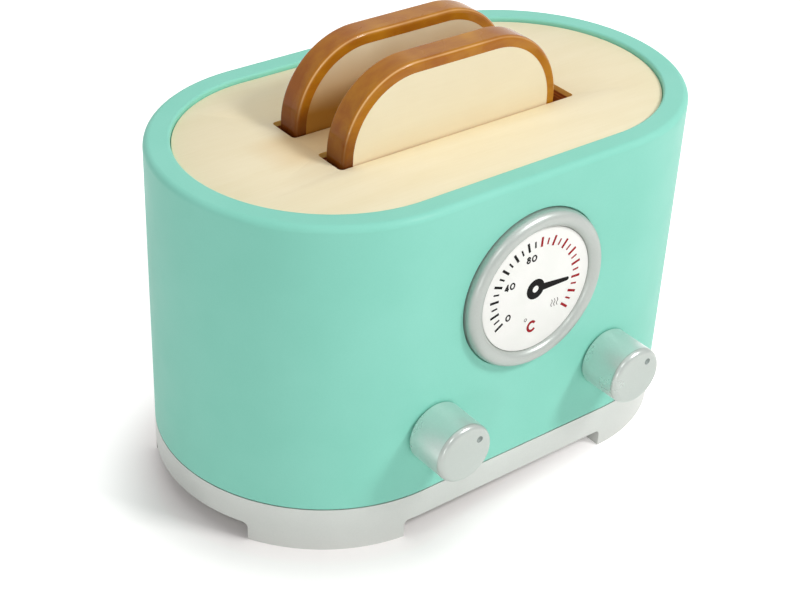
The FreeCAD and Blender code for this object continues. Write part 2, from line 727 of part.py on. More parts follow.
def build_latch_leaf(left, middle, screw):
    """Spring strip: a foot under the bracket's left screw, and an arm that leans on the latch."""
    thick = dims.leaf_thickness.value
    tilt = math.radians(dims.latch_tilt.value)
    low = (FLOOR + dims.bracket_plate).value
    half = dims.latch_half_width.value
    arm = (KNOB_Z - PIVOT_Z).value
    face_x = PIVOT_X.value - arm * math.sin(tilt) - half * math.cos(tilt)
    face_z = PIVOT_Z.value + arm * math.cos(tilt) - half * math.sin(tilt)
    heel = left.value + 2 * (dims.screw_head_radius.value + thick) + thick
    tip_x = face_x - dims.stop_gap.value
    points = [(left.value, low), (heel, low), (tip_x, face_z), (tip_x - thick, face_z)]
    points += [(heel - thick, low + thick), (left.value, low + thick)]
    width = dims.latch_thickness.value - 2 * thick
    front = CENTRE_Y.value + middle.value - width / 2
    profile = Part.makePolygon([V(x, front, z) for x, z in points + points[:1]])
    strip = doc.addObject("Part::Feature", "latch_strip")
    strip.Shape = Part.Face(profile).extrude(V(0, width, 0))
    node("latch_spring", cut("latch_spring_cut", strip, screw))


# ---------------------------------------------------------------- carriage


def build_rods():
    """Two upright guide rods with the screws that hold them from below."""
    low = FLOOR - dims.rod_foot
    height = PANEL_UNDER + dims.rod_socket - low
    under_board = FLOOR - dims.board_thickness
    head = dims.screw_head_height
    rods, screws = [], []
    for side in (-1, 1):
        x = ROD_X * side
        tag = "left" if side < 0 else "right"
        shank = rod(f"rod_screw_{tag}_shank", x, ZERO, under_board, dims.screw_radius, dims.long_screw_grip)
        top = rod(f"rod_screw_{tag}_head", x, ZERO, under_board - head, dims.screw_head_radius, head)
        screws.append(fuse(f"rod_screw_{tag}", shank, top))
        rods.append(rod(f"rod_{tag}", x, ZERO, low, dims.rod_radius, height))
    full_rods = fuse("rod_pair", *rods)
    screw_pair = node("rod_screws", fuse("rod_screw_pair", *screws))
    node("guide_rods", cut("rods_cut", full_rods, screw_pair))
    return full_rods, screw_pair


def build_spacers():
    """Tubes round the rods that stop the carriage under the panel."""
    low = CARRIAGE_TOP + dims.stop_gap
    bore = dims.rod_radius + dims.slide_clearance
    tubes = [
        tube(f"spacer_{i}", ROD_X * side, ZERO, low, bore + dims.spacer_wall, bore, PANEL_UNDER - low)
        for i, side in enumerate((-1, 1))
    ]
    node("stop_spacers", fuse("spacer_pair", *tubes))


def build_springs():
    """Compression springs on the rods, from the floor board to the carriage, swept half a turn at a time."""
    wire = dims.spring_wire.value
    turns = dims.spring_turns.value
    pitch = ((CARRIAGE_UNDER - FLOOR).value - 2 * wire) / turns
    radius = dims.spring_radius.value
    slope = math.atan2(pitch, 2 * math.pi * radius)
    section = Part.Wire(Part.makeCircle(wire, V(radius, 0, 0), V(0, math.cos(slope), math.sin(slope))))
    helix = Part.makeHelix(pitch, pitch / 2, radius)
    half_turn = Part.Wire(helix.Edges).makePipeShell([section], True, True)
    halves = []
    for step in range(round(2 * turns)):
        half = half_turn.copy()
        half.rotate(V(0, 0, 0), V(0, 0, 1), 180 * step)
        half.translate(V(0, 0, pitch / 2 * step))
        halves.append(half)
    for side, name in ((-1, "lift_spring_left"), (1, "lift_spring_right")):
        coil = doc.addObject("Part::Feature", name + "_coil")
        coil.Shape = halves[0].multiFuse(halves[1:]).Solids[0]
        place(coil, ROD_X * side, ZERO, FLOOR + dims.spring_wire)
        node(name, coil)


def build_carriage():
    """The shelf that both slices stand on, with an arm out to each rod."""
    half = SLOT_LENGTH / 2 + dims.carriage_overhang
    thick = dims.carriage_thickness
    shelf = box("shelf", -half, -CARRIAGE_HALF_Y, CARRIAGE_UNDER, half * 2, CARRIAGE_HALF_Y * 2, thick)
    arm_half = ROD_X + dims.arm_end
    arm_y = dims.arm_width / 2
    arms = box("shelf_arms", -arm_half, -arm_y, CARRIAGE_UNDER, arm_half * 2, dims.arm_width, thick)
    bore = dims.rod_radius + dims.slide_clearance
    outer = bore + dims.sleeve_wall
    holes, sleeves = [], []
    for side, tag in ((-1, "left"), (1, "right")):
        x = ROD_X * side
        holes.append(rod(f"arm_bore_{tag}", x, ZERO, CARRIAGE_UNDER, outer, thick))
        sleeves.append(tube(f"sleeve_{tag}", x, ZERO, CARRIAGE_UNDER, outer, bore, thick))
    screws = build_catch()
    node("bread_carriage", cut("carriage_cut", fuse("shelf_solid", shelf, arms), screws, *holes))
    node("carriage_sleeves", fuse("sleeve_pair", *sleeves))


def build_catch():
    """Metal catch on the carriage's front edge: a plate with a tongue that the latch holds."""
    plate = dims.catch_plate
    tongue_x = PIVOT_X + dims.latch_half_width + dims.side_play * 2
    tongue_end = CAM_BACK + dims.side_play * 2
    front = -CARRIAGE_HALF_Y
    low = CARRIAGE_UNDER + dims.catch_drop
    margin = dims.screw_head_radius * 2
    back = box(
        "catch_back",
        tongue_x - margin,
        front - plate,
        CARRIAGE_UNDER,
        dims.catch_width + margin * 2,
        plate,
        dims.carriage_thickness,
    )
    reach = front - plate - tongue_end
    width = dims.catch_width
    tongue = box("catch_tongue", tongue_x, tongue_end, low, width, reach, dims.catch_thickness)
    middle = CARRIAGE_UNDER + dims.carriage_thickness / 2
    head_radius, head_height = dims.screw_head_radius, dims.screw_head_height
    grip = dims.long_screw_grip
    screws = []
    for i, x in enumerate((tongue_x - margin / 2, tongue_x + width + margin / 2)):
        outside = front - plate
        head = rod(f"catch_head_{i}", x, outside - head_height, middle, head_radius, head_height, "Y")
        shank = rod(f"catch_shank_{i}", x, outside, middle, dims.screw_radius, grip, "Y")
        screws.append(fuse(f"catch_screw_{i}", head, shank))
    pair = node("catch_screws", fuse("catch_screw_pair", *screws))
    node("carriage_catch", cut("catch_cut", fuse("catch_solid", back, tongue), pair))
    return pair


def build_guides():
    """Three boards under the panel that keep the slices upright on their way down."""
    low = CARRIAGE_TOP + dims.guide_lift
    height = PANEL_UNDER - low
    half = SLOT_LENGTH / 2 + dims.guide_overlap
    back = dims.guide_setback
    outer = (dims.slot_spacing + SLOT_WIDTH) / 2 + back
    inner = (dims.slot_spacing - SLOT_WIDTH) / 2 - back
    thick = dims.guide_thickness
    for name, y, depth in (
        ("front_guide_board", -(outer + thick), thick),
        ("middle_guide_board", -inner, inner * 2),
        ("rear_guide_board", outer, thick),
    ):
        node(name, box(name + "_block", -half, y, low, half * 2, depth, height))


def build_slice(name, slot_side):
    """A slice of toast: rounded at the top, with all its face edges softened."""
    body = new_body(name + "_body")
    outline = new_sketch(body, name + "_outline", "XZ_Plane")
    half = dims.slice_width / 2
    draw_rectangle(outline, -half, ZERO, half, dims.slice_height)
    pad(body, outline, dims.slice_thickness, reverse=True)

    def corner(height):
        def test(edge):
            bounds = edge.BoundBox
            level = abs(bounds.ZMin - height) < 1e-4 and abs(bounds.ZMax - height) < 1e-4
            return level and bounds.XLength < 1e-4

        return test

    def on_a_face(edge):
        return edge.BoundBox.YLength < 1e-4

    dress(body, "Fillet", name + "_top", corner(dims.slice_height.value), dims.slice_top_round)
    dress(body, "Fillet", name + "_foot", corner(0.0), dims.slice_foot_round)
    dress(body, "Fillet", name + "_edges", on_a_face, dims.slice_edge_round)
    slot_edge = dims.slot_spacing / 2 * slot_side - SLOT_WIDTH / 2
    place(body, SLICE_X, slot_edge + dims.slice_side_gap, CARRIAGE_TOP)
    return node(name, body)


# ---------------------------------------------------------------- assembly and export


def build():
    rods, rod_screws = build_rods()
    screws, sinks = build_base_screws()
    bushes = [build_shaft("browning", -KNOB_X), build_shaft("release", KNOB_X)]
    build_shell(screws, bushes)
    build_plinth(screws, sinks)
    build_top_panel(rods)
    build_gauge()
    build_knob("browning_knob", -KNOB_X, dims.dimple_angle_left)
    build_knob("release_knob", KNOB_X, dims.dimple_angle_right)
    build_click_wheel()
    click_screw = build_click_spring()
    build_release_cam()
    build_latch()
    bracket_screws = build_latch_mount()
    floor_screws = node("floor_screws", fuse("floor_screw_group", click_screw, *bracket_screws))
    build_floor_board(rods, rod_screws, floor_screws)
    build_carriage()
    build_spacers()
    build_springs()
    build_guides()
    build_slice("front_toast", -1)
    build_slice("rear_toast", 1)
    doc.recompute()


def check():
    """Stop if any object of the document failed, or a sub-part's shape isn't sound."""
    for item in doc.Objects:
        if "Invalid" in item.State or "Error" in item.State:
            raise ValueError(f"{item.Name} failed: {item.State}")
    for name, item in nodes.items():
        if item.Shape.isNull() or not item.Shape.isValid() or not item.Shape.Solids:
            raise ValueError(f"{name} has no sound shape")


def export():
    os.makedirs("parts", exist_ok=True)
    for name, item in nodes.items():
        item.Shape.exportStep(os.path.join("parts", name + ".step"))


build()
check()
export()
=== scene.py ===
"""Looks of a wooden toy toaster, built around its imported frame.

Metres, +Z up, the front with the gauge and the knobs towards -Y. Every finished piece sits at the
origin with its place in its mesh.
"""

import logging
import math
from dataclasses import dataclass
from enum import Enum, IntEnum
from functools import cache, reduce
from typing import Callable, Iterable, Sequence

import bmesh
import bpy
from mathutils import Matrix, Vector


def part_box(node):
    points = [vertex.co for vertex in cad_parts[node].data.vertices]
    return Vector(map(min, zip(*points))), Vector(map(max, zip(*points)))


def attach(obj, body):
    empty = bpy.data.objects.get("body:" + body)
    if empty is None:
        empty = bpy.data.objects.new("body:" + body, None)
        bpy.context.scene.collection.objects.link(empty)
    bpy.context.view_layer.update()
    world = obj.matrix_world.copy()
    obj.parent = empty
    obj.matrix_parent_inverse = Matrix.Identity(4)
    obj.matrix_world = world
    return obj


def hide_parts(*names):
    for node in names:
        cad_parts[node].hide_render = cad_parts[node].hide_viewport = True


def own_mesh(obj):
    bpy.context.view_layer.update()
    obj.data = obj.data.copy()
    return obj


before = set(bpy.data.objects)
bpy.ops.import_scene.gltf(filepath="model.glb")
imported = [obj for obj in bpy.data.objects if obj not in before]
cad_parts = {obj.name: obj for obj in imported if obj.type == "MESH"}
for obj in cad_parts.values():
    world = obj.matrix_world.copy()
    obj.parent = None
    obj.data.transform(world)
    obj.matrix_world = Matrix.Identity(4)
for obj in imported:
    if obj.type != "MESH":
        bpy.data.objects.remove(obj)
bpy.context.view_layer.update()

LOG = logging.getLogger("toaster")
MM = 0.001
DOUBLE = 1e-6  # corners nearer than this are one corner
ON_LEVEL = 1e-5  # a corner this near a level lies on it
NEAR = 0.1 * MM  # sizes this near each other are the same size
ALONG = 0.99  # an edge runs along an axis when this share of its length does
SQUARE = 0.9999  # a face lies square to an axis when its normal is this much along it
WALL = 0.5  # a face is a wall when its normal is less than this much along Z
WHITE = (1.0, 1.0, 1.0, 1.0)
UPRIGHT = Matrix.Rotation(math.pi / 2, 4, "X")  # stands the XY plane up, to face the front
MIX_A, MIX_B, MIX_RESULT = 6, 7, 2  # the Mix node's sockets for colours
MOST_NOISE = (0.3, 0.7)  # nearly all of a noise pattern lies in here
MID_NOISE = (0.35, 0.65)  # and about its middle half in here

Colour = tuple[float, float, float]
Pair = tuple[float, float]
Triple = tuple[float, float, float]
Pattern = bpy.types.NodeSocket
BMesh = bmesh.types.BMesh
BMEdge = bmesh.types.BMEdge
EdgeTest = Callable[[BMEdge], bool]


class Body(str, Enum):
    """The frame's moving groups that new pieces ride on."""

    HOUSING = "housing"
    FRONT_SLICE = "front_slice"
    REAR_SLICE = "rear_slice"
    BROWNING = "browning_dial"
    RELEASE = "release_dial"


class Slot(str, Enum):
    """Names of the record's material slots."""

    MINT = "mint_paint"
    SILVER = "silver_paint"
    WOOD = "pale_wood"
    RING = "silver_ring"
    DIAL = "dial_print"
    KNOB = "knob_paint"
    TOAST = "toast_paint"
    STEEL = "steel"
    SPRING = "spring_steel"


class Axis(IntEnum):
    """The frame's axes, by the index of their coordinate."""

    X = 0
    Y = 1
    Z = 2


class Sum(str, Enum):
    """What a Math node does with its inputs."""

    ADD = "ADD"
    LESS = "SUBTRACT"
    TIMES = "MULTIPLY"
    POWER = "POWER"
    LEAST = "MINIMUM"
    MOST = "MAXIMUM"
    ABSOLUTE = "ABSOLUTE"


def srgb(red: float, green: float, blue: float) -> Colour:
    """Turn a colour from 0 to 255 into linear light.

    Args:
        red: Red part, 0 to 255.
        green: Green part, 0 to 255.
        blue: Blue part, 0 to 255.

    Returns:
        The linear colour.
    """

    def linear(part: float) -> float:
        """One part in linear light."""
        share = part / 255
        return share / 12.92 if share <= 0.04045 else ((share + 0.055) / 1.055) ** 2.4

    return linear(red), linear(green), linear(blue)


# ---------------------------------------------------------------- shader building


class Nodes:
    """A node tree, with short names for the nodes that patterns are made of."""

    def __init__(self, tree: bpy.types.NodeTree) -> None:
        """Work in a tree."""
        self.tree = tree

    def feed(self, socket: Pattern, value: object) -> None:
        """Give a socket a uniform value, or another node's output.

        Args:
            socket: The socket.
            value: A number, a colour or a pattern.
        """
        if isinstance(value, Pattern):
            self.tree.links.new(value, socket)
        else:
            socket.default_value = value

    def node(self, kind: str, **inputs: object) -> bpy.types.Node:
        """Add a node.

        Args:
            kind: Its type, without the leading ShaderNode.
            inputs: A value or a pattern for each named input, with underscores for spaces.

        Returns:
            The node.
        """
        node = self.tree.nodes.new("ShaderNode" + kind)
        for name, value in inputs.items():
            self.feed(node.inputs[name.replace("_", " ")], value)
        return node

    def sums(self, kind: Sum, first: Pattern, second: Pattern | float = 0.0) -> Pattern:
        """Combine two patterns, or a pattern and a number.

        Args:
            kind: How they are combined.
            first: The first pattern.
            second: The second pattern, or a number.

        Returns:
            The result.
        """
        node = self.node("Math")
        node.operation = kind.value
        self.feed(node.inputs[0], first)
        self.feed(node.inputs[1], second)
        return node.outputs["Value"]

    def total(self, *parts: tuple[Pattern, float]) -> Pattern:
        """Add up patterns, each times its own share."""
        terms = [self.sums(Sum.TIMES, pattern, share) for pattern, share in parts]
        return reduce(lambda one, two: self.sums(Sum.ADD, one, two), terms)

    def gap(self, pattern: Pattern, level: float) -> Pattern:
        """How far a pattern is from a level, on either side."""
        return self.sums(Sum.ABSOLUTE, self.sums(Sum.LESS, pattern, level))

    def past(self, pattern: Pattern, level: float) -> Pattern:
        """How far a pattern is above a level, and 0 below it."""
        return self.sums(Sum.MOST, self.sums(Sum.LESS, pattern, level), 0.0)

    def span(self, pattern: Pattern, reach: Pair, values: Pair = (0.0, 1.0)) -> Pattern:
        """Stretch a pattern from one range to another, clamped at both ends.

        Args:
            pattern: The pattern.
            reach: The range that is used of it.
            values: What the ends of that range become.

        Returns:
            The stretched pattern.
        """
        (low, high), (first, last) = reach, values
        node = self.node("MapRange", Value=pattern, From_Min=low, From_Max=high, To_Min=first, To_Max=last)
        return node.outputs["Result"]

    def seen(self) -> Pattern:
        """What tells a look from lighting.

        Returns:
            A pattern that is 1 for what the camera sees, also by a reflection or through glass.
        """
        path = self.node("LightPath").outputs
        rays = [path[name] for name in ("Is Camera Ray", "Is Glossy Ray", "Is Transmission Ray")]
        return reduce(lambda one, two: self.sums(Sum.MOST, one, two), rays)


class Shader(Nodes):
    """One procedural material, whose patterns read Object coordinates."""

    def __init__(self, name: str) -> None:
        """Start the material.

        Args:
            name: Its name.
        """
        self.material = bpy.data.materials.new(name)
        self.material.use_nodes = True
        super().__init__(self.material.node_tree)
        self.surface = self.tree.nodes["Principled BSDF"]
        self.place = self.node("TexCoord").outputs["Object"]

    def put(self, **values: object) -> None:
        """Give the surface's sockets a value or a pattern, with underscores for spaces."""
        for name, value in values.items():
            self.feed(self.surface.inputs[name.replace("_", " ")], value)

    def noise(
        self,
        scale: float,
        detail: float = 2.0,
        rough: float = 0.5,
        stretch: Triple = (1.0, 1.0, 1.0),
        bend: float = 0.0,
    ) -> Pattern:
        """A noise pattern.

        Args:
            scale: Cells per metre.
            detail: Octaves.
            rough: How strong the fine octaves are.
            stretch: Extra scale along each axis.
            bend: Distortion.

        Returns:
            The pattern's value, about 0 to 1.
        """
        place = self.node("Mapping", Vector=self.place, Scale=stretch).outputs["Vector"]
        node = self.node(
            "TexNoise", Vector=place, Scale=scale, Detail=detail, Roughness=rough, Distortion=bend
        )
        return node.outputs["Fac"]

    def axes(self) -> tuple[Pattern, ...]:
        """The three coordinates of a point, in metres."""
        return tuple(self.node("SeparateXYZ", Vector=self.place).outputs)

    def grains(self, scale: float) -> Pattern:
        """Round cells, as in orange peel or a crumb, by distance from each cell's middle."""
        return self.node("TexVoronoi", Vector=self.place, Scale=scale).outputs["Distance"]

    def blend(self, amount: Pattern, first: Colour | Pattern, second: Colour | Pattern) -> Pattern:
        """Mix two colours, each a plain one or a pattern.

        Args:
            amount: The second colour's share, 0 to 1.
            first: The first colour.
            second: The second colour.

        Returns:
            The mixed colour.
        """
        node = self.node("Mix")
        node.data_type = "RGBA"
        self.feed(node.inputs["Factor"], amount)
        for index, colour in ((MIX_A, first), (MIX_B, second)):
            self.feed(node.inputs[index], (*colour, 1.0) if isinstance(colour, tuple) else colour)
        return node.outputs[MIX_RESULT]

    def shades(self, pattern: Pattern, reach: Pair, first: Colour, last: Colour) -> Pattern:
        """Run from one colour to another over a range of a pattern."""
        return self.blend(self.span(pattern, reach), first, last)

    def roughness(self, pattern: Pattern, values: Pair) -> None:
        """Let the surface's roughness wander between two values with a noise pattern."""
        self.put(Roughness=self.span(pattern, MOST_NOISE, values))

    def relief(self, pattern: Pattern, depth: float) -> None:
        """Bump the surface; depth is the pattern's height in metres."""
        self.put(Normal=self.node("Bump", Height=pattern, Distance=depth).outputs["Normal"])


# ---------------------------------------------------------------- finishes


@dataclass(frozen=True)
class Finish:
    """A named finish; each kind paints its own patterns."""

    name: str

    def paint(self, shader: Shader) -> None:
        """Give a material's surface its colour, gloss and relief."""
        raise NotImplementedError


@dataclass(frozen=True)
class Paint(Finish):
    """Sprayed paint: nearly even colour, a little variation of gloss, and orange peel or a hammered skin."""

    colour: Colour
    shade: Colour
    roughness: float = 0.42
    spread: float = 0.06
    metallic: float = 0.0
    peel_scale: float = 900.0
    peel_depth: float = 0.02 * MM
    leathery: bool = False
    coat: float = 0.0
    gloss: float = 0.5

    def paint(self, shader: Shader) -> None:
        """Paint clouds with a fine speck in them, and raise noise, or round cells where it is leathery.

        Args:
            shader: The material that it is painted on.
        """
        cloud = shader.noise(22.0, detail=3.0, rough=0.55)
        speck = shader.noise(1500.0, detail=1.0)
        tone = shader.total((cloud, 0.8), (speck, 0.2))
        shader.put(Base_Color=shader.shades(tone, MID_NOISE, self.colour, self.shade))
        shine = shader.noise(60.0, detail=4.0, rough=0.6)
        shader.roughness(shine, (self.roughness - self.spread, self.roughness + self.spread))
        skin = shader.grains if self.leathery else lambda scale: shader.noise(scale, rough=0.4)
        shader.relief(skin(self.peel_scale), self.peel_depth)
        shader.put(Metallic=self.metallic, Coat_Weight=self.coat, Coat_Roughness=0.12)
        shader.put(Specular_IOR_Level=self.gloss)


@dataclass(frozen=True)
class Wood(Finish):
    """Sanded, clear-coated pale wood: long fine grain, broad faint growth bands and short pores.

    Between the bread slots an orange light reflected from the slices is painted on the veneer, which fades
    out past their ends.
    """

    light: Colour
    dark: Colour
    painted_bounce: Colour
    strip_x: float = -9.0 * MM
    strip_y: float = 9.25 * MM
    strip_reach: Pair = (7.0 * MM, 14.0 * MM)
    strip_ends: Pair = (44.0 * MM, 66.0 * MM)
    # Share of the painted reflected light in the middle of the strip between the slots.
    warmth: float = 0.55
    contrast: Pair = (0.36, 0.64)
    pores: Pair = (0.66, 0.74)
    pore_tone: float = 0.25
    sheen: Pair = (0.49, 0.61)

    def paint(self, shader: Shader) -> None:
        """Paint grain that runs along X.

        Args:
            shader: The material that it is painted on.
        """
        figure = shader.noise(16.0, rough=0.45, stretch=(0.35, 3.2, 3.2), bend=1.4)
        fibre = shader.noise(60.0, detail=5.0, rough=0.6, stretch=(1.0, 26.0, 26.0), bend=0.4)
        cloud = shader.noise(34.0, detail=3.0, stretch=(1.0, 2.0, 2.0))
        tone = shader.total((figure, 0.4), (fibre, 0.3), (cloud, 0.3))
        base = shader.shades(tone, self.contrast, self.dark, self.light)
        along, across, _ = shader.axes()
        # Painted reflected light: an orange glow from the slices on the veneer between the slots, fading
        # past their ends.
        beside = shader.span(shader.gap(across, self.strip_y), self.strip_reach, (self.warmth, 0.0))
        ends = shader.span(shader.gap(along, self.strip_x), self.strip_ends, (1.0, 0.0))
        base = shader.blend(shader.sums(Sum.TIMES, beside, ends), base, self.painted_bounce)
        specks = shader.noise(190.0, detail=3.0, stretch=(1.0, 14.0, 14.0))
        flecks = shader.span(specks, self.pores, (0.0, self.pore_tone))
        shader.put(Base_Color=shader.blend(flecks, base, self.dark), Specular_IOR_Level=0.3)
        shader.roughness(fibre, self.sheen)
        shader.relief(fibre, 0.02 * MM)


@dataclass(frozen=True)
class SlotWall(Finish):
    """Sawn wall of a bread slot: a golden band at the top, painted lighter where light reaches, then painted
    shade darkening the wood below, with two paler veneer lines.
    """

    lip: Colour
    painted_shade: Colour
    layer: Colour
    top: float
    lip_height: float = 2.0 * MM
    lip_fade: float = 0.5 * MM
    wander: float = 0.8 * MM
    layer_at: Pair = (3.0 * MM, 4.2 * MM)
    layer_reach: Pair = (0.1 * MM, 0.4 * MM)
    layer_tone: float = 0.7
    streak_tone: float = 0.35
    sheen: Pair = (0.6, 0.75)

    def paint(self, shader: Shader) -> None:
        """Paint the layers by their depth below the top.

        Args:
            shader: The material that it is painted on.
        """
        fibre = shader.noise(150.0, detail=3.0, rough=0.6, stretch=(1.0, 1.0, 0.2))
        height = shader.total((shader.axes()[Axis.Z], 1.0), (shader.noise(120.0), self.wander))
        # Painted light and shade: a lighter band at the top of the wall, and painted shade deeper into the
        # slot.
        edge = self.top - self.lip_height
        base = shader.shades(height, (edge, edge + self.lip_fade), self.painted_shade, self.lip)
        for level in self.layer_at:
            line = (self.layer_tone, 0.0)
            near = shader.span(shader.gap(height, self.top - level), self.layer_reach, line)
            base = shader.blend(near, base, self.layer)
        streaks = shader.span(fibre, (0.35, 0.7), (0.0, self.streak_tone))
        shader.put(Base_Color=shader.blend(streaks, base, self.layer), Specular_IOR_Level=0.25)
        shader.roughness(fibre, self.sheen)
        shader.relief(fibre, 0.05 * MM)


@dataclass(frozen=True)
class Plywood(Finish):
    """Bare birch plywood: stacked veneers of two tones that show at the edges."""

    light: Colour
    dark: Colour
    veneer: float = 1.5 * MM
    sheen: Pair = (0.6, 0.75)

    def paint(self, shader: Shader) -> None:
        """Paint veneers that are stacked along Z.

        Args:
            shader: The material that it is painted on.
        """
        scale = 0.5 / self.veneer / math.pi
        bands = shader.node("TexWave", Vector=shader.place, Scale=scale, Distortion=0.6)
        bands.bands_direction = "Z"
        fibre = shader.noise(70.0, detail=4.0, rough=0.6, stretch=(1.0, 18.0, 18.0))
        tone = shader.total((bands.outputs["Fac"], 0.4), (fibre, 0.6))
        shader.put(Base_Color=shader.shades(tone, (0.25, 0.75), self.dark, self.light))
        shader.roughness(fibre, self.sheen)
        shader.relief(fibre, 0.05 * MM)


@dataclass(frozen=True)
class Crust(Finish):
    """Glossy caramel lacquer, lighter and yellower towards +X, with painted shade at the foot and painted
    highlight lines just inside both faces' edges.
    """

    light: Colour
    dark: Colour
    painted_shade: Colour
    painted_highlight: Colour
    highlight_levels: Pair
    highlight_share: float = 0.85
    highlight_heights: Pair = (140.0 * MM, 154.0 * MM)
    lighter_rightwards: float = 1.8
    painted_shade_heights: Pair = (134.0 * MM, 151.0 * MM)
    painted_shade_share: float = 0.9
    painted_shade_fade_x: Pair = (-20.0 * MM, 30.0 * MM)
    highlight_reach: Pair = (0.06 * MM, 0.32 * MM)
    sheen: Pair = (0.24, 0.32)

    def paint(self, shader: Shader) -> None:
        """Paint drifts of two tones, the painted highlight lines over them and the painted shade at the foot
        over both.

        Args:
            shader: The material that it is painted on.
        """
        drift = shader.noise(26.0, detail=3.0, rough=0.55, bend=0.4)
        fine = shader.noise(240.0, detail=3.0, rough=0.6, stretch=(0.3, 1.0, 1.0))
        along, across, height = shader.axes()
        # The drifts run lighter and yellower towards +X.
        tone = shader.total((drift, 0.75), (fine, 0.25), (along, self.lighter_rightwards))
        base = shader.shades(tone, (0.36, 0.66), self.dark, self.light)
        # Painted highlight: a lighter line just inside each face's edge, broken by the drifts and strongest
        # higher up.
        nearest = shader.sums(Sum.LEAST, *(shader.gap(across, level) for level in self.highlight_levels))
        highlight = shader.span(nearest, self.highlight_reach, (self.highlight_share, 0.0))
        highlight = shader.sums(Sum.TIMES, highlight, shader.span(drift, (0.35, 0.6), (0.3, 1.0)))
        highlight = shader.sums(Sum.TIMES, highlight, shader.span(height, self.highlight_heights, (0.25, 1.0)))
        base = shader.blend(highlight, base, self.painted_highlight)
        # Painted shade at the foot near the slot, deepest at the left end.
        foot = shader.span(height, self.painted_shade_heights, (self.painted_shade_share, 0.0))
        foot = shader.sums(Sum.TIMES, foot, shader.span(along, self.painted_shade_fade_x, (1.0, 0.2)))
        shader.put(Base_Color=shader.blend(foot, base, self.painted_shade))
        shader.roughness(drift, self.sheen)
        shader.relief(shader.noise(500.0, rough=0.4), 0.01 * MM)
        shader.put(Specular_IOR_Level=0.06, Coat_Weight=0.38, Coat_Roughness=0.04)


@dataclass(frozen=True)
class Crumb(Finish):
    """Cream face of a slice: very fine grain, with painted shade and reflected light turning it golden
    towards its foot.
    """

    light: Colour
    dark: Colour
    painted_warm_shade: Colour
    warm_shade_share: float
    warm_shade_heights: Pair
    wander: float = 8.0 * MM
    sheen: Pair = (0.45, 0.58)

    def paint(self, shader: Shader) -> None:
        """Paint cream, with painted golden shade at the foot whose upper end wanders.

        Args:
            shader: The material that it is painted on.
        """
        fibre = shader.noise(55.0, detail=4.0, rough=0.55, stretch=(1.0, 16.0, 16.0))
        cloud = shader.noise(40.0, detail=3.0)
        tone = shader.total((fibre, 0.3), (cloud, 0.7))
        cream = shader.shades(tone, MOST_NOISE, self.dark, self.light)
        height = shader.total((shader.axes()[Axis.Z], 1.0), (shader.noise(30.0), self.wander))
        # Painted shade and reflected light from the crust and the slot: golden towards the foot.
        toast = shader.span(height, self.warm_shade_heights, (self.warm_shade_share, 0.0))
        shader.put(Base_Color=shader.blend(toast, cream, self.painted_warm_shade))
        shader.roughness(cloud, self.sheen)
        shader.relief(shader.grains(900.0), 0.012 * MM)


@dataclass(frozen=True)
class Metal(Finish):
    """Plated or drawn steel: fine streaks along Z."""

    colour: Colour
    shade: Colour
    roughness: float = 0.34
    stretch: Triple = (1.0, 1.0, 0.06)

    def paint(self, shader: Shader) -> None:
        """Paint a cloudy metal and raise its streaks.

        Args:
            shader: The material that it is painted on.
        """
        streak = shader.noise(900.0, detail=3.0, rough=0.6, stretch=self.stretch)
        cloud = shader.noise(120.0, detail=3.0)
        shader.put(Base_Color=shader.shades(cloud, MID_NOISE, self.colour, self.shade), Metallic=1.0)
        shader.roughness(streak, (self.roughness - 0.08, self.roughness + 0.1))
        shader.relief(streak, 0.006 * MM)


@dataclass(frozen=True)
class Moulded(Finish):
    """Moulded plastic or flat printing ink: even colour, fine spark-eroded grain."""

    colour: Colour
    shade: Colour
    roughness: float = 0.45
    grain: float = 0.012 * MM
    gloss: float = 0.5

    def paint(self, shader: Shader) -> None:
        """Paint a nearly even colour and raise a fine grain.

        Args:
            shader: The material that it is painted on.
        """
        cloud = shader.noise(90.0, detail=3.0)
        shader.put(Base_Color=shader.shades(cloud, MID_NOISE, self.colour, self.shade))
        shader.roughness(cloud, (self.roughness - 0.05, self.roughness + 0.05))
        shader.relief(shader.noise(2600.0), self.grain)
        shader.put(Specular_IOR_Level=self.gloss)


MINT = Paint(
    "mint_satin_paint",
    srgb(146, 222, 203),
    srgb(140, 218, 198),
    roughness=0.5,
    peel_depth=0.012 * MM,
    coat=0.05,
    gloss=0.22,
)
SILVER = Paint("silver_satin_paint", srgb(212, 215, 211), srgb(204, 207, 203), metallic=0.45)
RING = Paint(
    "ring_silver",
    srgb(186, 192, 187),
    srgb(176, 182, 177),
    roughness=0.37,
    spread=0.02,
    metallic=0.5,
    peel_depth=0.003 * MM,
)
# The knob's side: the same silver as its front, painted lighter as the lit copy.
KNOB = Paint(
    "knob_side_lit_silver",
    srgb(223, 232, 228),
    srgb(211, 220, 216),
    roughness=0.3,
    spread=0.04,
    metallic=0.62,
    peel_scale=1900.0,
    peel_depth=0.04 * MM,
    leathery=True,
)
# The knob's front: the same silver as its side, painted darker as the shaded copy.
KNOB_FACE = Paint(
    "knob_front_shaded_silver",
    srgb(190, 197, 192),
    srgb(182, 189, 184),
    roughness=0.3,
    spread=0.03,
    metallic=0.58,
    peel_depth=0.004 * MM,
)
# Painted shade for the dimple's hollow, darker than the knob's silver.
KNOB_DIMPLE_SHADE = Paint("knob_dimple_painted_shade", srgb(158, 168, 164), srgb(146, 156, 152), roughness=0.34)
# The maple's third colour is the painted orange light reflected from the slices between the bread slots.
MAPLE = Wood("pale_maple", srgb(248, 236, 203), srgb(242, 228, 190), srgb(222, 178, 110))
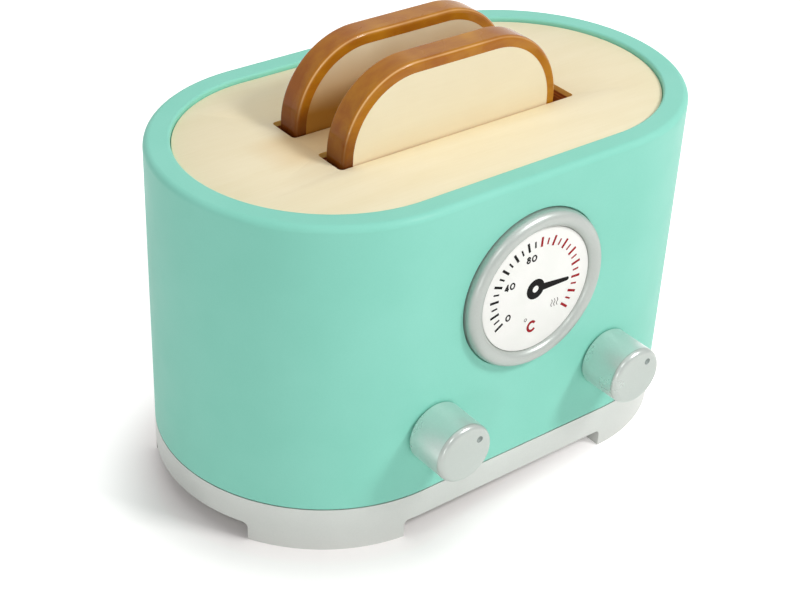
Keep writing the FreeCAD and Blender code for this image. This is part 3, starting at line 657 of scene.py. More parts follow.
# The slot wall's colours: a golden top band painted lighter where light reaches, painted shade below it, and
# paler veneer lines.
SLOT_WALL = SlotWall(
    "slot_wall", srgb(252, 208, 112), srgb(142, 62, 26), srgb(212, 132, 56), top=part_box("top_panel")[1].z
)
BIRCH = Plywood("birch_plywood", srgb(222, 186, 132), srgb(176, 130, 78))
# Crust colours: light, dark, the painted shade for the foot, and the painted highlight for the lines inside
# the edges.
CARAMEL = (srgb(202, 140, 26), srgb(160, 89, 14), srgb(86, 30, 10), srgb(240, 192, 130))
CREAM = (srgb(241, 229, 199), srgb(237, 223, 191))
# The crumbs' third colour is painted golden shade and reflected light at the foot; the deeper one is for the
# rear slice's face between the slices.
CRUMB = Crumb("crumb_cream", *CREAM, srgb(214, 176, 104), warm_shade_share=0.75, warm_shade_heights=(104.0 * MM, 149.0 * MM))
SHADED_CRUMB = Crumb(
    "crumb_painted_shade", *CREAM, srgb(168, 112, 18), warm_shade_share=0.98, warm_shade_heights=(146.0 * MM, 171.0 * MM)
)
DIAL_WHITE = Moulded("dial_white", srgb(250, 250, 246), srgb(246, 247, 242), roughness=0.5)
INK_BLACK = Moulded("ink_black", srgb(10, 9, 9), srgb(15, 13, 13), roughness=0.7, gloss=0.15)
INK_RED = Moulded("ink_red", srgb(168, 26, 36), srgb(154, 22, 34), roughness=0.7, gloss=0.15)
INK_GREY = Moulded("ink_grey", srgb(84, 78, 78), srgb(98, 92, 90), roughness=0.7, gloss=0.15)
NYLON = Moulded("moulded_nylon", srgb(232, 230, 220), srgb(222, 219, 208), roughness=0.5, grain=0.03 * MM)
STEEL = Metal("zinc_steel", srgb(188, 190, 192), srgb(170, 172, 176))
SPRING = Metal("spring_steel_wire", srgb(150, 152, 156), srgb(128, 130, 136), roughness=0.28)


@cache
def dress(finish: Finish) -> bpy.types.Material:
    """The material of a finish, made once.

    Args:
        finish: The finish.

    Returns:
        Its material.
    """
    shader = Shader(finish.name)
    finish.paint(shader)
    return shader.material


# ---------------------------------------------------------------- mesh building


def clean(bm: BMesh) -> None:
    """Merge doubles and turn every face outwards."""
    bmesh.ops.remove_doubles(bm, verts=bm.verts[:], dist=DOUBLE)
    bmesh.ops.recalc_face_normals(bm, faces=bm.faces[:])


def to_data(bm: BMesh, name: str) -> bpy.types.Mesh:
    """Write a bmesh out as mesh data, and free it.

    Args:
        bm: The bmesh.
        name: Name of the data.

    Returns:
        The data.
    """
    mesh = bpy.data.meshes.new(name)
    bm.to_mesh(mesh)
    bm.free()
    return mesh


def in_scene(name: str, data: bpy.types.ID) -> bpy.types.Object:
    """Put data in the scene as an object at the origin.

    Args:
        name: Name of the object.
        data: Its mesh, lamp or camera data.

    Returns:
        The object.
    """
    item = bpy.data.objects.new(name, data)
    bpy.context.scene.collection.objects.link(item)
    return item


def finished(
    bm: BMesh,
    name: str,
    finishes: Sequence[Finish],
    body: Body,
    replaces: Iterable[str] = (),
    crease: float = 35.0,
    flats: bool = False,
) -> bpy.types.Object:
    """Turn a bmesh into a finished piece that rides on a body.

    Args:
        bm: The piece's mesh, in place. It is freed.
        name: Name of the piece.
        finishes: Its finishes, by material index.
        body: The body it rides on.
        replaces: CAD nodes that it stands for.
        crease: Edges sharper than this many degrees stay sharp.
        flats: Keep large flat faces flat where they meet rounded ones.

    Returns:
        The piece.
    """
    clean(bm)
    mesh = to_data(bm, name)
    for finish in finishes:
        mesh.materials.append(dress(finish))
    mesh.shade_smooth()
    mesh.set_sharp_from_angle(angle=math.radians(crease))
    piece = in_scene(name, mesh)
    if flats:
        weighted = piece.modifiers.new("flat_faces", "WEIGHTED_NORMAL")
        weighted.keep_sharp = True
        weighted.weight = 80
    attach(piece, body.value)
    if replaces:
        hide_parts(*replaces)
    LOG.info("%s: %d faces on %s", name, len(mesh.polygons), body.value)
    return piece


def joined(parts: Iterable[BMesh]) -> BMesh:
    """Put several meshes in one, and free them.

    Args:
        parts: The meshes, in place.

    Returns:
        The one mesh.
    """
    whole = bmesh.new()
    for part in parts:
        mesh = to_data(part, "scratch")
        whole.from_mesh(mesh)
        bpy.data.meshes.remove(mesh)
    return whole


def carve(bm: BMesh, tool: BMesh, union: bool = False) -> BMesh:
    """Cut a tool out of a mesh, or join it on, and free both.

    Args:
        bm: The mesh that is cut.
        tool: The closed mesh that cuts it.
        union: Join instead of cutting.

    Returns:
        The result, whose faces all have material index 0.
    """
    scratch = []
    for part in (bm, tool):
        clean(part)
        scratch.append(in_scene("scratch", to_data(part, "scratch")))
    boolean = scratch[0].modifiers.new("carve", "BOOLEAN")
    boolean.operation = "UNION" if union else "DIFFERENCE"
    boolean.solver = "EXACT"
    boolean.object = scratch[1]
    evaluated = scratch[0].evaluated_get(bpy.context.evaluated_depsgraph_get())
    result = bmesh.new()
    result.from_mesh(evaluated.to_mesh())
    evaluated.to_mesh_clear()
    for item in scratch:
        mesh = item.data
        bpy.data.objects.remove(item)
        bpy.data.meshes.remove(mesh)
    return result


def round_edges(bm: BMesh, wanted: EdgeTest, radius: float, segments: int) -> None:
    """Round the edges that pass a test.

    Args:
        bm: The mesh.
        wanted: The test.
        radius: Radius of the rounding.
        segments: Strips across it.
    """
    edges = [edge for edge in bm.edges if wanted(edge)]
    bmesh.ops.bevel(
        bm,
        geom=edges,
        offset=radius,
        offset_type="OFFSET",
        segments=segments,
        profile=0.5,
        affect="EDGES",
        clamp_overlap=True,
        material=-1,
    )


def all_at(edge: BMEdge, axis: Axis, level: float) -> bool:
    """Whether both ends of an edge lie at one level of an axis."""
    return all(abs(vert.co[axis] - level) < ON_LEVEL for vert in edge.verts)


def runs_along(edge: BMEdge, axis: Axis) -> bool:
    """Whether an edge runs along an axis."""
    run = edge.verts[0].co - edge.verts[1].co
    return abs(run[axis]) > run.length * ALONG


def raised(bm: BMesh, height: float) -> BMesh:
    """Give a flat shape its thickness, upwards.

    Args:
        bm: The shape, in the XY plane.
        height: Its thickness.

    Returns:
        The same mesh.
    """
    grown = bmesh.ops.extrude_face_region(bm, geom=bm.faces[:])["geom"]
    lifted = [item for item in grown if isinstance(item, bmesh.types.BMVert)]
    bmesh.ops.translate(bm, verts=lifted, vec=(0, 0, height))
    return bm


def bar(centre: Vector, size: Vector) -> BMesh:
    """A block.

    Args:
        centre: Its middle.
        size: Its three sizes.

    Returns:
        The block's mesh.
    """
    bm = bmesh.new()
    bmesh.ops.create_cube(bm, size=1.0, matrix=Matrix.Translation(centre) @ Matrix.Diagonal((*size, 1.0)))
    return bm


def turned(
    centre: Vector, radius: float, start: float, end: float, along: Axis = Axis.Y, segments: int = 96
) -> BMesh:
    """A closed round bar.

    Args:
        centre: A point on its axis; the part along the axis is ignored.
        radius: Its radius.
        start: Where it starts along the axis.
        end: Where it ends.
        along: The axis, Y or Z.
        segments: Sides.

    Returns:
        The bar's mesh.
    """
    bm = bmesh.new()
    turn = UPRIGHT if along == Axis.Y else Matrix.Identity(4)
    middle = centre.copy()
    middle[along] = (start + end) / 2
    bmesh.ops.create_cone(
        bm,
        cap_ends=True,
        segments=segments,
        radius1=radius,
        radius2=radius,
        depth=abs(end - start),
        matrix=Matrix.Translation(middle) @ turn,
    )
    return bm


def lathed(section: Sequence[Vector], centre: Vector, along: Axis, steps: int, closed: bool = True) -> BMesh:
    """Turn a section once round an axis.

    Args:
        section: The section's corners, in order.
        centre: A point on the axis.
        along: The axis.
        steps: Sides round it.
        closed: Whether the last corner joins the first. An open section ends on the axis.

    Returns:
        The turned mesh.
    """
    bm = bmesh.new()
    verts = [bm.verts.new(corner) for corner in section]
    edges = [bm.edges.new((verts[i - 1], verts[i])) for i in range(0 if closed else 1, len(verts))]
    bmesh.ops.spin(
        bm,
        geom=verts + edges,
        cent=centre,
        axis=[float(axis == along) for axis in Axis],
        angle=2 * math.pi,
        steps=steps,
        use_merge=True,
        use_duplicate=False,
    )
    return bm


def round_place(node: str) -> tuple[Vector, float]:
    """The middle of a round node and its radius, which is half its width along X."""
    low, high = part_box(node)
    return (low + high) / 2, (high.x - low.x) / 2


@dataclass(frozen=True)
class Racetrack:
    """The toaster's plan: two half circles joined by straight sides."""

    length: float
    width: float
    centre_y: float
    steps: int = 192

    @property
    def bend_x(self) -> float:
        """Where the half circles start."""
        return (self.length - self.width) / 2

    @property
    def half_step(self) -> float:
        """Half the angle between two corners of the half circles."""
        return math.pi / self.steps

    def depth(self, point: Vector) -> float:
        """How far a point lies inside the outline."""
        across = max(abs(point.x) - self.bend_x, 0.0)
        return self.width / 2 - math.hypot(across, point.y - self.centre_y)

    def edge_at(self, level: float, depth: float) -> EdgeTest:
        """A test for the edges that run round at a level and a depth.

        Args:
            level: Their height.
            depth: How far inside the outline they lie.

        Returns:
            The test.
        """
        return lambda edge: all_at(edge, Axis.Z, level) and all(
            abs(self.depth(vert.co) - depth) < NEAR for vert in edge.verts
        )

    def ring(self, profile: Sequence[Pair]) -> BMesh:
        """Sweep a wall's section round the outline.

        Args:
            profile: Closed loop of (depth inside the outline, height).

        Returns:
            The wall's mesh.
        """
        turn = Matrix.Rotation(self.half_step, 3, "Z")
        reach = [(depth - self.width / 2) / math.cos(self.half_step) for depth, _ in profile]
        section = [turn @ Vector((0.0, y, z)) for y, (_, z) in zip(reach, profile)]
        return self._stretch(lathed(section, Vector(), Axis.Z, self.steps))

    def plate(self, low: float, high: float) -> BMesh:
        """A solid plate of the outline.

        Args:
            low: Height of its underside.
            high: Height of its top.

        Returns:
            The plate's mesh.
        """
        bm = turned(Vector(), self.width / 2 / math.cos(self.half_step), low, high, Axis.Z, self.steps)
        turn = Matrix.Rotation(self.half_step, 3, "Z")
        bmesh.ops.rotate(bm, verts=bm.verts[:], cent=(0, 0, 0), matrix=turn)
        return self._stretch(bm)

    def _stretch(self, bm: BMesh) -> BMesh:
        """Pull a round shape apart along X and move it to the toaster's middle.

        Args:
            bm: The round shape.

        Returns:
            The same mesh.
        """
        for side in (-1, 1):
            half = [vert for vert in bm.verts if vert.co.x * side > 0]
            bmesh.ops.translate(bm, verts=half, vec=(side * self.bend_x, 0, 0))
        bmesh.ops.translate(bm, verts=bm.verts[:], vec=(0, self.centre_y, 0))
        return bm


# ---------------------------------------------------------------- housing


@dataclass
class Housing:
    """Mint shell, silver plinth and wooden top."""

    rim_wall: float = 9.7 * MM
    shell_wall: float = 14.0 * MM
    rim_round: float = 2.6 * MM
    rim_inner_round: float = 1.1 * MM
    seam_round: float = 0.3 * MM
    seam_gap: float = 0.35 * MM
    seam_depth: float = 1.5 * MM
    plinth_wall: float = 16.0 * MM
    ledge_depth: float = 6.0 * MM
    foot_height: float = 7.4 * MM
    notch_left: float = 53.0 * MM
    notch_right: float = 45.0 * MM
    end_notch_width: float = 65.4 * MM
    notch_round: float = 2.0 * MM
    soft_edge: float = 0.8 * MM
    soft_angle: float = 40.0
    slot_round: float = 1.5 * MM
    slot_edge: float = 0.35 * MM
    gauge_gap: float = 0.6 * MM
    bush_gap: float = 2.6 * MM
    guide_overlap: float = 2.0 * MM
    guide_setback: float = 0.2 * MM

    def __post_init__(self) -> None:
        """Read the outline and the heights from the frame."""
        low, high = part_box("body_shell")
        self.seam, self.rim = low.z, high.z
        low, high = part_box("base_plinth")
        self.outline = Racetrack(high.x - low.x, high.y - low.y, (low.y + high.y) / 2)
        self.front = self.outline.centre_y - self.outline.width / 2

    def build(self) -> None:
        """Build the three pieces."""
        self.shell()
        self.plinth()
        self.top()

    def shell(self) -> None:
        """The mint wall, rounded at the rim, with a seat for the gauge and holes for the knob bushes."""
        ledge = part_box("top_panel")[0].z
        wall, rim = self.shell_wall, self.rim_wall
        lip = self.seam + self.seam_gap
        outside = [(0, lip), (0, self.rim), (rim, self.rim), (rim, ledge)]
        inside = [(wall, ledge), (wall, self.seam), (self.seam_depth, self.seam), (self.seam_depth, lip)]
        bm = self.outline.ring(outside + inside)
        round_edges(bm, self.outline.edge_at(self.rim, 0.0), self.rim_round, segments=8)
        round_edges(bm, self.outline.edge_at(self.rim, rim), self.rim_inner_round, segments=4)
        round_edges(bm, self.outline.edge_at(lip, 0.0), self.seam_round, segments=2)
        behind = self.front - self.rim_wall
        centre, radius = round_place("gauge_bezel")
        bm = carve(bm, turned(centre, radius + self.gauge_gap, behind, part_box("gauge_bezel")[1].y))
        for knob in ("browning", "release"):
            centre, _ = round_place(knob + "_bush")
            _, radius = round_place(knob + "_shaft")
            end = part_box(knob + "_bush")[1].y
            bm = carve(bm, turned(centre, radius + self.bush_gap, behind, end, segments=48))
        finished(bm, "mint_shell", [MINT], Body.HOUSING, ["body_shell"], crease=30.0, flats=True)

    def plinth(self) -> None:
        """The silver ring with its four feet, every sharp edge of it softened."""
        wall, ledge = self.plinth_wall, self.rim_wall
        shelf = self.seam - self.ledge_depth
        bm = self.outline.ring(
            [(0, 0), (0, self.seam), (ledge, self.seam), (ledge, shelf), (wall, shelf), (wall, 0)]
        )
        centre_y = self.outline.centre_y
        span, height = self.outline.length * 2, self.foot_height * 2
        middle_x = (self.notch_right - self.notch_left) / 2
        width_x = self.notch_right + self.notch_left
        for tool, axis in (
            (bar(Vector((middle_x, centre_y, 0)), Vector((width_x, span, height))), Axis.Y),
            (bar(Vector((0, centre_y, 0)), Vector((span, self.end_notch_width, height))), Axis.X),
        ):
            round_edges(
                tool,
                lambda edge: all_at(edge, Axis.Z, self.foot_height) and runs_along(edge, axis),
                self.notch_round,
                segments=6,
            )
            bm = carve(bm, tool)
        piece = finished(
            bm, "silver_plinth", [SILVER], Body.HOUSING, ["base_plinth"], crease=30.0
        )
        bevel = piece.modifiers.new("soft_edges", "BEVEL")
        bevel.width = self.soft_edge
        bevel.segments = 3
        bevel.limit_method = "ANGLE"
        bevel.angle_limit = math.radians(self.soft_angle)
        bevel.harden_normals = True

    def top(self) -> None:
        """The wooden panel with its two bread slots."""
        low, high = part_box("top_panel")
        outline = Racetrack(high.x - low.x, high.y - low.y, self.outline.centre_y)
        bm = outline.plate(low.z, high.z)
        for side in (-1, 1):
            bm = carve(bm, self.slot_tool(side, low.z, high.z))
        bm.normal_update()
        for face in bm.faces:
            inside = outline.depth(face.calc_center_median()) > self.rim_wall
            face.material_index = int(inside and abs(face.normal.z) < WALL)
        round_edges(bm, lambda edge: all_at(edge, Axis.Z, high.z), self.slot_edge, segments=2)
        finished(bm, "maple_top", [MAPLE, SLOT_WALL], Body.HOUSING, ["top_panel"])

    def slot_tool(self, side: int, low: float, high: float) -> BMesh:
        """A block with rounded upright edges, as large as one bread slot between the guide boards.

        Args:
            side: -1 for the front slot and 1 for the rear one.
            low: Height of the panel's underside.
            high: Height of its top.

        Returns:
            The block's mesh, three times as high as the panel.
        """
        inner, outer = (1, 0) if side > 0 else (0, 1)
        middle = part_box("middle_guide_board")
        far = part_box("rear_guide_board" if side > 0 else "front_guide_board")
        near_y = middle[inner].y + side * self.guide_setback
        far_y = far[outer].y - side * self.guide_setback
        length = 2 * (middle[1].x - self.guide_overlap)
        centre = Vector((0, (near_y + far_y) / 2, (low + high) / 2))
        bm = bar(centre, Vector((length, abs(far_y - near_y), 3 * (high - low))))
        round_edges(bm, lambda edge: runs_along(edge, Axis.Z), self.slot_round, segments=5)
        return bm


# ---------------------------------------------------------------- gauge


@dataclass(frozen=True)
class Lettering:
    """Plain round numerals of one stroke width, drawn flat about the origin and slightly raised.

    What belongs to the four and the eight is a share of a sign's height or width, and the four's
    nibs are shares of the stroke.
    """

    height: float = 2.9 * MM
    width: float = 2.5 * MM
    stroke: float = 0.62 * MM
    space: float = 0.4 * MM
    ink: float = 0.05 * MM
    mouth: float = 38.0
    four_width: float = 0.82
    four_bar: float = 0.27
    four_stem: float = 0.2
    four_nibs: Triple = (0.35, 0.3, 0.1)
    eight_width: float = 0.8
    eight_waist: float = 0.88
    eight_loops: Pair = (0.52, 0.6)

    def word(self, text: str) -> BMesh:
        """The signs of a text, side by side and centred.

        Args:
            text: Numerals 0, 4 and 8, or the letter C.

        Returns:
            Their joined mesh in the XY plane.
        """
        draw = {"0": self.zero, "4": self.four, "8": self.eight, "C": self.letter_c}
        share = {"4": self.four_width, "8": self.eight_width}
        widths = [self.width * share.get(sign, 1.0) for sign in text]
        left = -(sum(widths) + self.space * (len(text) - 1)) / 2
        parts = []
        for sign, width in zip(text, widths):
            parts.append(draw[sign](left + width / 2, width))
            left += width + self.space
        return joined(parts)

    def loop(self, centre: Pair, width: float, height: float) -> BMesh:
        """An oval ring of the stroke's width.

        Args:
            centre: Its middle.
            width: Its outer width.
            height: Its outer height.

        Returns:
            The ring's mesh.
        """
        bm = bmesh.new()
        bmesh.ops.create_circle(bm, segments=40, radius=0.5, cap_ends=True)
        bmesh.ops.scale(bm, vec=(width, height, 1.0), verts=bm.verts[:])
        bmesh.ops.translate(bm, vec=(*centre, -self.ink), verts=bm.verts[:])
        inner = bm.faces[:]
        bmesh.ops.inset_region(
            bm, faces=inner, thickness=self.stroke, use_boundary=True, use_even_offset=True
        )
        bmesh.ops.delete(bm, geom=inner, context="FACES")
        return raised(bm, self.ink * 2)

    def line(self, start: Pair, end: Pair) -> BMesh:
        """A straight stroke.

        Args:
            start: Its first end.
            end: Its other end.

        Returns:
            The stroke's mesh.
        """
        first, last = Vector((*start, 0)), Vector((*end, 0))
        run = last - first
        turn = Matrix.Rotation(math.atan2(run.y, run.x), 4, "Z")
        place = Matrix.Translation((first + last) / 2) @ turn
        size = Matrix.Diagonal((run.length, self.stroke, self.ink * 2, 1.0))
        bm = bmesh.new()
        bmesh.ops.create_cube(bm, size=1.0, matrix=place @ size)
        return bm

    def zero(self, x: float, width: float) -> BMesh:
        """An oval."""
        return self.loop((x, 0), width, self.height)

    def eight(self, x: float, width: float) -> BMesh:
        """A smaller loop on a larger one, which share a stroke.

        Args:
            x: Its middle.
            width: Its width.

        Returns:
            The sign's mesh.
        """
        upper, lower = (self.height * share for share in self.eight_loops)
        bm = self.loop((x, (lower - self.height) / 2), width, lower)
        top = self.loop((x, (self.height - upper) / 2), width * self.eight_waist, upper)
        return carve(bm, top, union=True)

    def four(self, x: float, width: float) -> BMesh:
        """An upright stroke, a level one and a slanting one.

        Args:
            x: Its middle.
            width: Its width.

        Returns:
            The sign's mesh.
        """
        top, foot = self.height / 2, -self.height / 2
        level = foot + self.height * self.four_bar
        stem = x + width * self.four_stem
        end, drop, back = (self.stroke * nib for nib in self.four_nibs)
        left = x - width / 2 + end
        bm = self.line((stem, foot), (stem, top))
        bm = carve(bm, self.line((left, level), (x + width / 2, level)), union=True)
        return carve(bm, self.line((left, level - drop), (stem - back, top - end)), union=True)

    def letter_c(self, x: float, width: float) -> BMesh:
        """An oval ring with an open mouth on the right.

        Args:
            x: Its middle.
            width: Its width.

        Returns:
            The letter's mesh.
        """
        rise = self.width * math.tan(math.radians(self.mouth))
        corners = [(x, 0), (x + self.width, -rise), (x + self.width, rise)]
        wedge = bmesh.new()
        verts = [wedge.verts.new((u, v, -self.ink * 2)) for u, v in corners]
        bmesh.ops.contextual_create(wedge, geom=verts)
        return carve(self.loop((x, 0), width, self.height), raised(wedge, self.ink * 4))


@dataclass(frozen=True)
class Sign:
    """A text of the dial: its piece's name, what it says, its spot, its ink and how it is drawn."""

    name: str
    text: str
    spot: Pair
    ink: Moulded = INK_BLACK
    lettering: Lettering = Lettering()


@dataclass
class Print:
    """What is printed on the dial: scale, numbers, pointer and two signs."""

    ink: float = 0.05 * MM
    shift: Pair = (-0.35 * MM, 0.35 * MM)
    ticks: int = 29
    first_red: int = 14
    first_angle: float = 213.0
    tick_step: float = 9.0
    long_tick: Pair = (17.4 * MM, 21.4 * MM)
    short_tick: Pair = (17.9 * MM, 20.5 * MM)
    long_width: float = 1.0 * MM
    short_width: float = 0.7 * MM
    hub_radius: float = 4.15 * MM
    hub_bore: float = 1.4 * MM
    needle_reach: float = 16.1 * MM
    needle_root: float = 1.5 * MM
    needle_tip: float = 0.75 * MM
    needle_nose: float = 0.9
    needle_angle: float = -3.0
    degree_spot: Pair = (-3.5 * MM, -12.1 * MM)
    degree_radius: float = 0.7 * MM
    degree_stroke: float = 0.25 * MM
    warmth_spot: Pair = (10.1 * MM, -9.2 * MM)
    wave_space: float = 1.35 * MM
    wave_height: float = 3.2 * MM
    wave_bend: float = 0.26 * MM
    wave_count: float = 1.2
    wave_stroke: float = 0.3 * MM
    signs: tuple[Sign, ...] = (
        Sign("number_0", "0", (-12.2 * MM, -8.0 * MM)),
        Sign("number_40", "40", (-12.6 * MM, 5.2 * MM)),
        Sign("number_80", "80", (-3.2 * MM, 13.6 * MM)),
        Sign("letter_c", "C", (-0.3 * MM, -15.9 * MM), INK_RED, Lettering(5.0 * MM, 4.6 * MM, 1.05 * MM)),
    )

    def __post_init__(self) -> None:
        """Read the dial's face from the frame."""
        self.centre, _ = round_place("gauge_dial")
        self.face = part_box("gauge_dial")[0].y

    def build(self) -> None:
        """Build every print."""
        self.scale("scale_black", range(self.first_red), INK_BLACK)
        self.scale("scale_red", range(self.first_red, self.ticks), INK_RED)
        self.pointer()
        for sign in self.signs:
            self.printed(self.at(sign.lettering.word(sign.text), sign.spot), sign.name, sign.ink)
        self.degree()
        self.warmth()

    def on_dial(self, x: float = 0.0, z: float = 0.0) -> Matrix:
        """The place on the dial's face of a print that is drawn in the XY plane.

        Args:
            x: To the right of the dial's printed middle.
            z: Above it.

        Returns:
            The place.
        """
        shift_x, shift_z = self.shift
        spot = Vector((self.centre.x + shift_x + x, self.face, self.centre.z + shift_z + z))
        return Matrix.Translation(spot) @ UPRIGHT

    def at(self, bm: BMesh, spot: Pair) -> BMesh:
        """Move a print from the origin to its spot on the dial."""
        bmesh.ops.transform(bm, matrix=self.on_dial(*spot), verts=bm.verts[:])
        return bm

    def printed(self, bm: BMesh, name: str, ink: Moulded) -> None:
        """Finish a print of one ink."""
        finished(bm, name, [ink], Body.HOUSING)

    def scale(self, name: str, steps: Iterable[int], ink: Moulded) -> None:
        """Marks of the scale: long ones at even steps and short ones between.

        Args:
            name: Name of the piece.
            steps: The marks that it has, counted from the scale's start.
            ink: Their ink.
        """
        bm = bmesh.new()
        for step in steps:
            inner, outer = self.short_tick if step % 2 else self.long_tick
            width = self.short_width if step % 2 else self.long_width
            turn = Matrix.Rotation(math.radians(self.first_angle - self.tick_step * step), 4, "Z")
            place = self.on_dial() @ turn @ Matrix.Translation(((inner + outer) / 2, 0, 0))
            size = Matrix.Diagonal((outer - inner, width, self.ink * 2, 1))
            bmesh.ops.create_cube(bm, size=1.0, matrix=place @ size)
        self.printed(bm, name, ink)

    def pointer(self) -> None:
        """The printed pointer: a ring with a tapering arm that ends round."""
        arm = bmesh.new()
        bmesh.ops.create_grid(arm, x_segments=1, y_segments=1, size=0.5)
        root = (self.hub_bore + self.hub_radius) / 2
        for vert in arm.verts:
            tip = vert.co.x > 0
            half = self.needle_tip if tip else self.needle_root
            vert.co = Vector((self.needle_reach if tip else root, math.copysign(half, vert.co.y), -self.ink))
        bmesh.ops.bevel(
            arm,
            geom=[vert for vert in arm.verts if vert.co.x > root + NEAR],
            offset=self.needle_tip * self.needle_nose,
            offset_type="OFFSET",
            segments=6,
            profile=0.5,
            affect="VERTICES",
            material=-1,
        )
        raised(arm, self.ink * 2)
        turn = Matrix.Rotation(math.radians(self.needle_angle), 4, "Z")
        bmesh.ops.transform(arm, matrix=self.on_dial() @ turn, verts=arm.verts[:])
        middle = self.on_dial().translation
        hub = turned(middle, self.hub_radius, self.face - self.ink, self.face + self.ink, segments=64)
        bore = turned(middle, self.hub_bore, self.face - self.ink * 3, self.face + self.ink * 3, segments=48)
        self.printed(carve(carve(hub, arm, union=True), bore), "pointer_print", INK_BLACK)

    def degree(self) -> None:
        """The small ring of the degree sign."""
        bm = bmesh.new()
        bmesh.ops.create_circle(bm, segments=24, radius=self.degree_radius, cap_ends=True)
        bmesh.ops.inset_region(bm, faces=bm.faces[:], thickness=self.degree_stroke, use_boundary=True)
        middle = [face for face in bm.faces if len(face.verts) > 4]
        bmesh.ops.delete(bm, geom=middle, context="FACES")
        self.printed(self.at(raised(bm, self.ink), self.degree_spot), "degree_sign", INK_GREY)

    def warmth(self) -> None:
        """Three short wavy lines for rising heat."""
        bm = bmesh.new()
        for step in (-1, 0, 1):
            for vert in bmesh.ops.create_grid(bm, x_segments=1, y_segments=14, size=0.5)["verts"]:
                bend = self.wave_bend * math.sin(vert.co.y * self.wave_count * 2 * math.pi)
                side = math.copysign(self.wave_stroke / 2, vert.co.x)
                vert.co = Vector((step * self.wave_space + side + bend, vert.co.y * self.wave_height, 0))
        self.printed(self.at(raised(bm, self.ink), self.warmth_spot), "warmth_sign", INK_GREY)


@dataclass
class Gauge:
    """Silver ring and printed white dial."""

    ring_round: float = 3.0 * MM
    ring_gap: float = 0.1 * MM
    dial_round: float = 0.1 * MM

    def build(self) -> None:
        """Build the ring, the dial and the print."""
        self.ring()
        self.dial()
        Print().build()

    def ring(self) -> None:
        """The round-sectioned ring."""
        low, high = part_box("gauge_bezel")
        _, outer = round_place("gauge_bezel")
        centre, inner = round_place("gauge_dial")
        inner += self.ring_gap
        section = [
            Vector((centre.x + reach, y, centre.z))
            for reach, y in ((inner, low.y), (outer, low.y), (outer, high.y), (inner, high.y))
        ]

        def around(edge: BMEdge) -> bool:
            """Whether an edge follows a circle at the ring's front."""
            near, far = ((vert.co - centre).xz.length for vert in edge.verts)
            return all_at(edge, Axis.Y, low.y) and abs(near - far) < NEAR

        bm = lathed(section, centre, Axis.Y, steps=160)
        round_edges(bm, around, self.ring_round, segments=10)
        finished(bm, "gauge_ring", [RING], Body.HOUSING, ["gauge_bezel"])

    def dial(self) -> None:
        """The white disc."""
        low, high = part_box("gauge_dial")
        bm = turned(*round_place("gauge_dial"), low.y, high.y, segments=128)
        round_edges(bm, lambda edge: all_at(edge, Axis.Y, low.y), self.dial_round, segments=2)
        finished(bm, "dial_disc", [DIAL_WHITE], Body.HOUSING, ["gauge_dial"])


# ---------------------------------------------------------------- knobs


@dataclass
class Knob:
    """A round silver knob with a hammered side, a smooth front and a small pointer dimple."""

    node: str
    body: Body
    dimple_angle: float
    edge_round: float = 2.2 * MM
    back_round: float = 0.5 * MM
    dimple_radius: float = 1.4 * MM
    dimple_depth: float = 1.0 * MM
    dimple_offset: float = 7.3 * MM
    dimple_shade_reach: float = 1.01
    front_tilt: float = 0.05

    def build(self) -> None:
        """Build the knob and give its side, its front and its dimple their finishes: the side and the front
        are lighter and darker copies of one silver, as painted light and shade, and the dimple takes painted
        shade.
        """
        low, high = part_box(self.node)
        centre, radius = round_place(self.node)
        bm = turned(centre, radius, low.y, high.y, segments=128)
        round_edges(bm, lambda edge: all_at(edge, Axis.Y, low.y), self.edge_round, segments=7)
        round_edges(bm, lambda edge: all_at(edge, Axis.Y, high.y), self.back_round, segments=3)
        angle = math.radians(self.dimple_angle)
        spot = Vector((math.cos(angle), 0, math.sin(angle))) * self.dimple_offset + centre
        spot.y = low.y - self.dimple_radius + self.dimple_depth
        ball = bmesh.new()
        place = Matrix.Translation(spot)
        bmesh.ops.create_icosphere(ball, subdivisions=4, radius=self.dimple_radius, matrix=place)
        shaft = self.node.replace("knob", "shaft")
        bore = turned(*round_place(shaft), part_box(shaft)[0].y, high.y + self.edge_round, segments=48)
        bm = carve(carve(bm, ball), bore)
        bm.normal_update()
        for face in bm.faces:
            middle = face.calc_center_median()
            # Faces in the dimple take the painted shade.
            if (middle - spot).length < self.dimple_radius * self.dimple_shade_reach:
                face.material_index = 2
            elif middle.y < low.y + self.edge_round and face.normal.y < -self.front_tilt:
                face.material_index = 1
        finishes = [KNOB, KNOB_FACE, KNOB_DIMPLE_SHADE]
        name = self.node + "_cap"
        finished(bm, name, finishes, self.body, [self.node], crease=30.0, flats=True)


# ---------------------------------------------------------------- toast


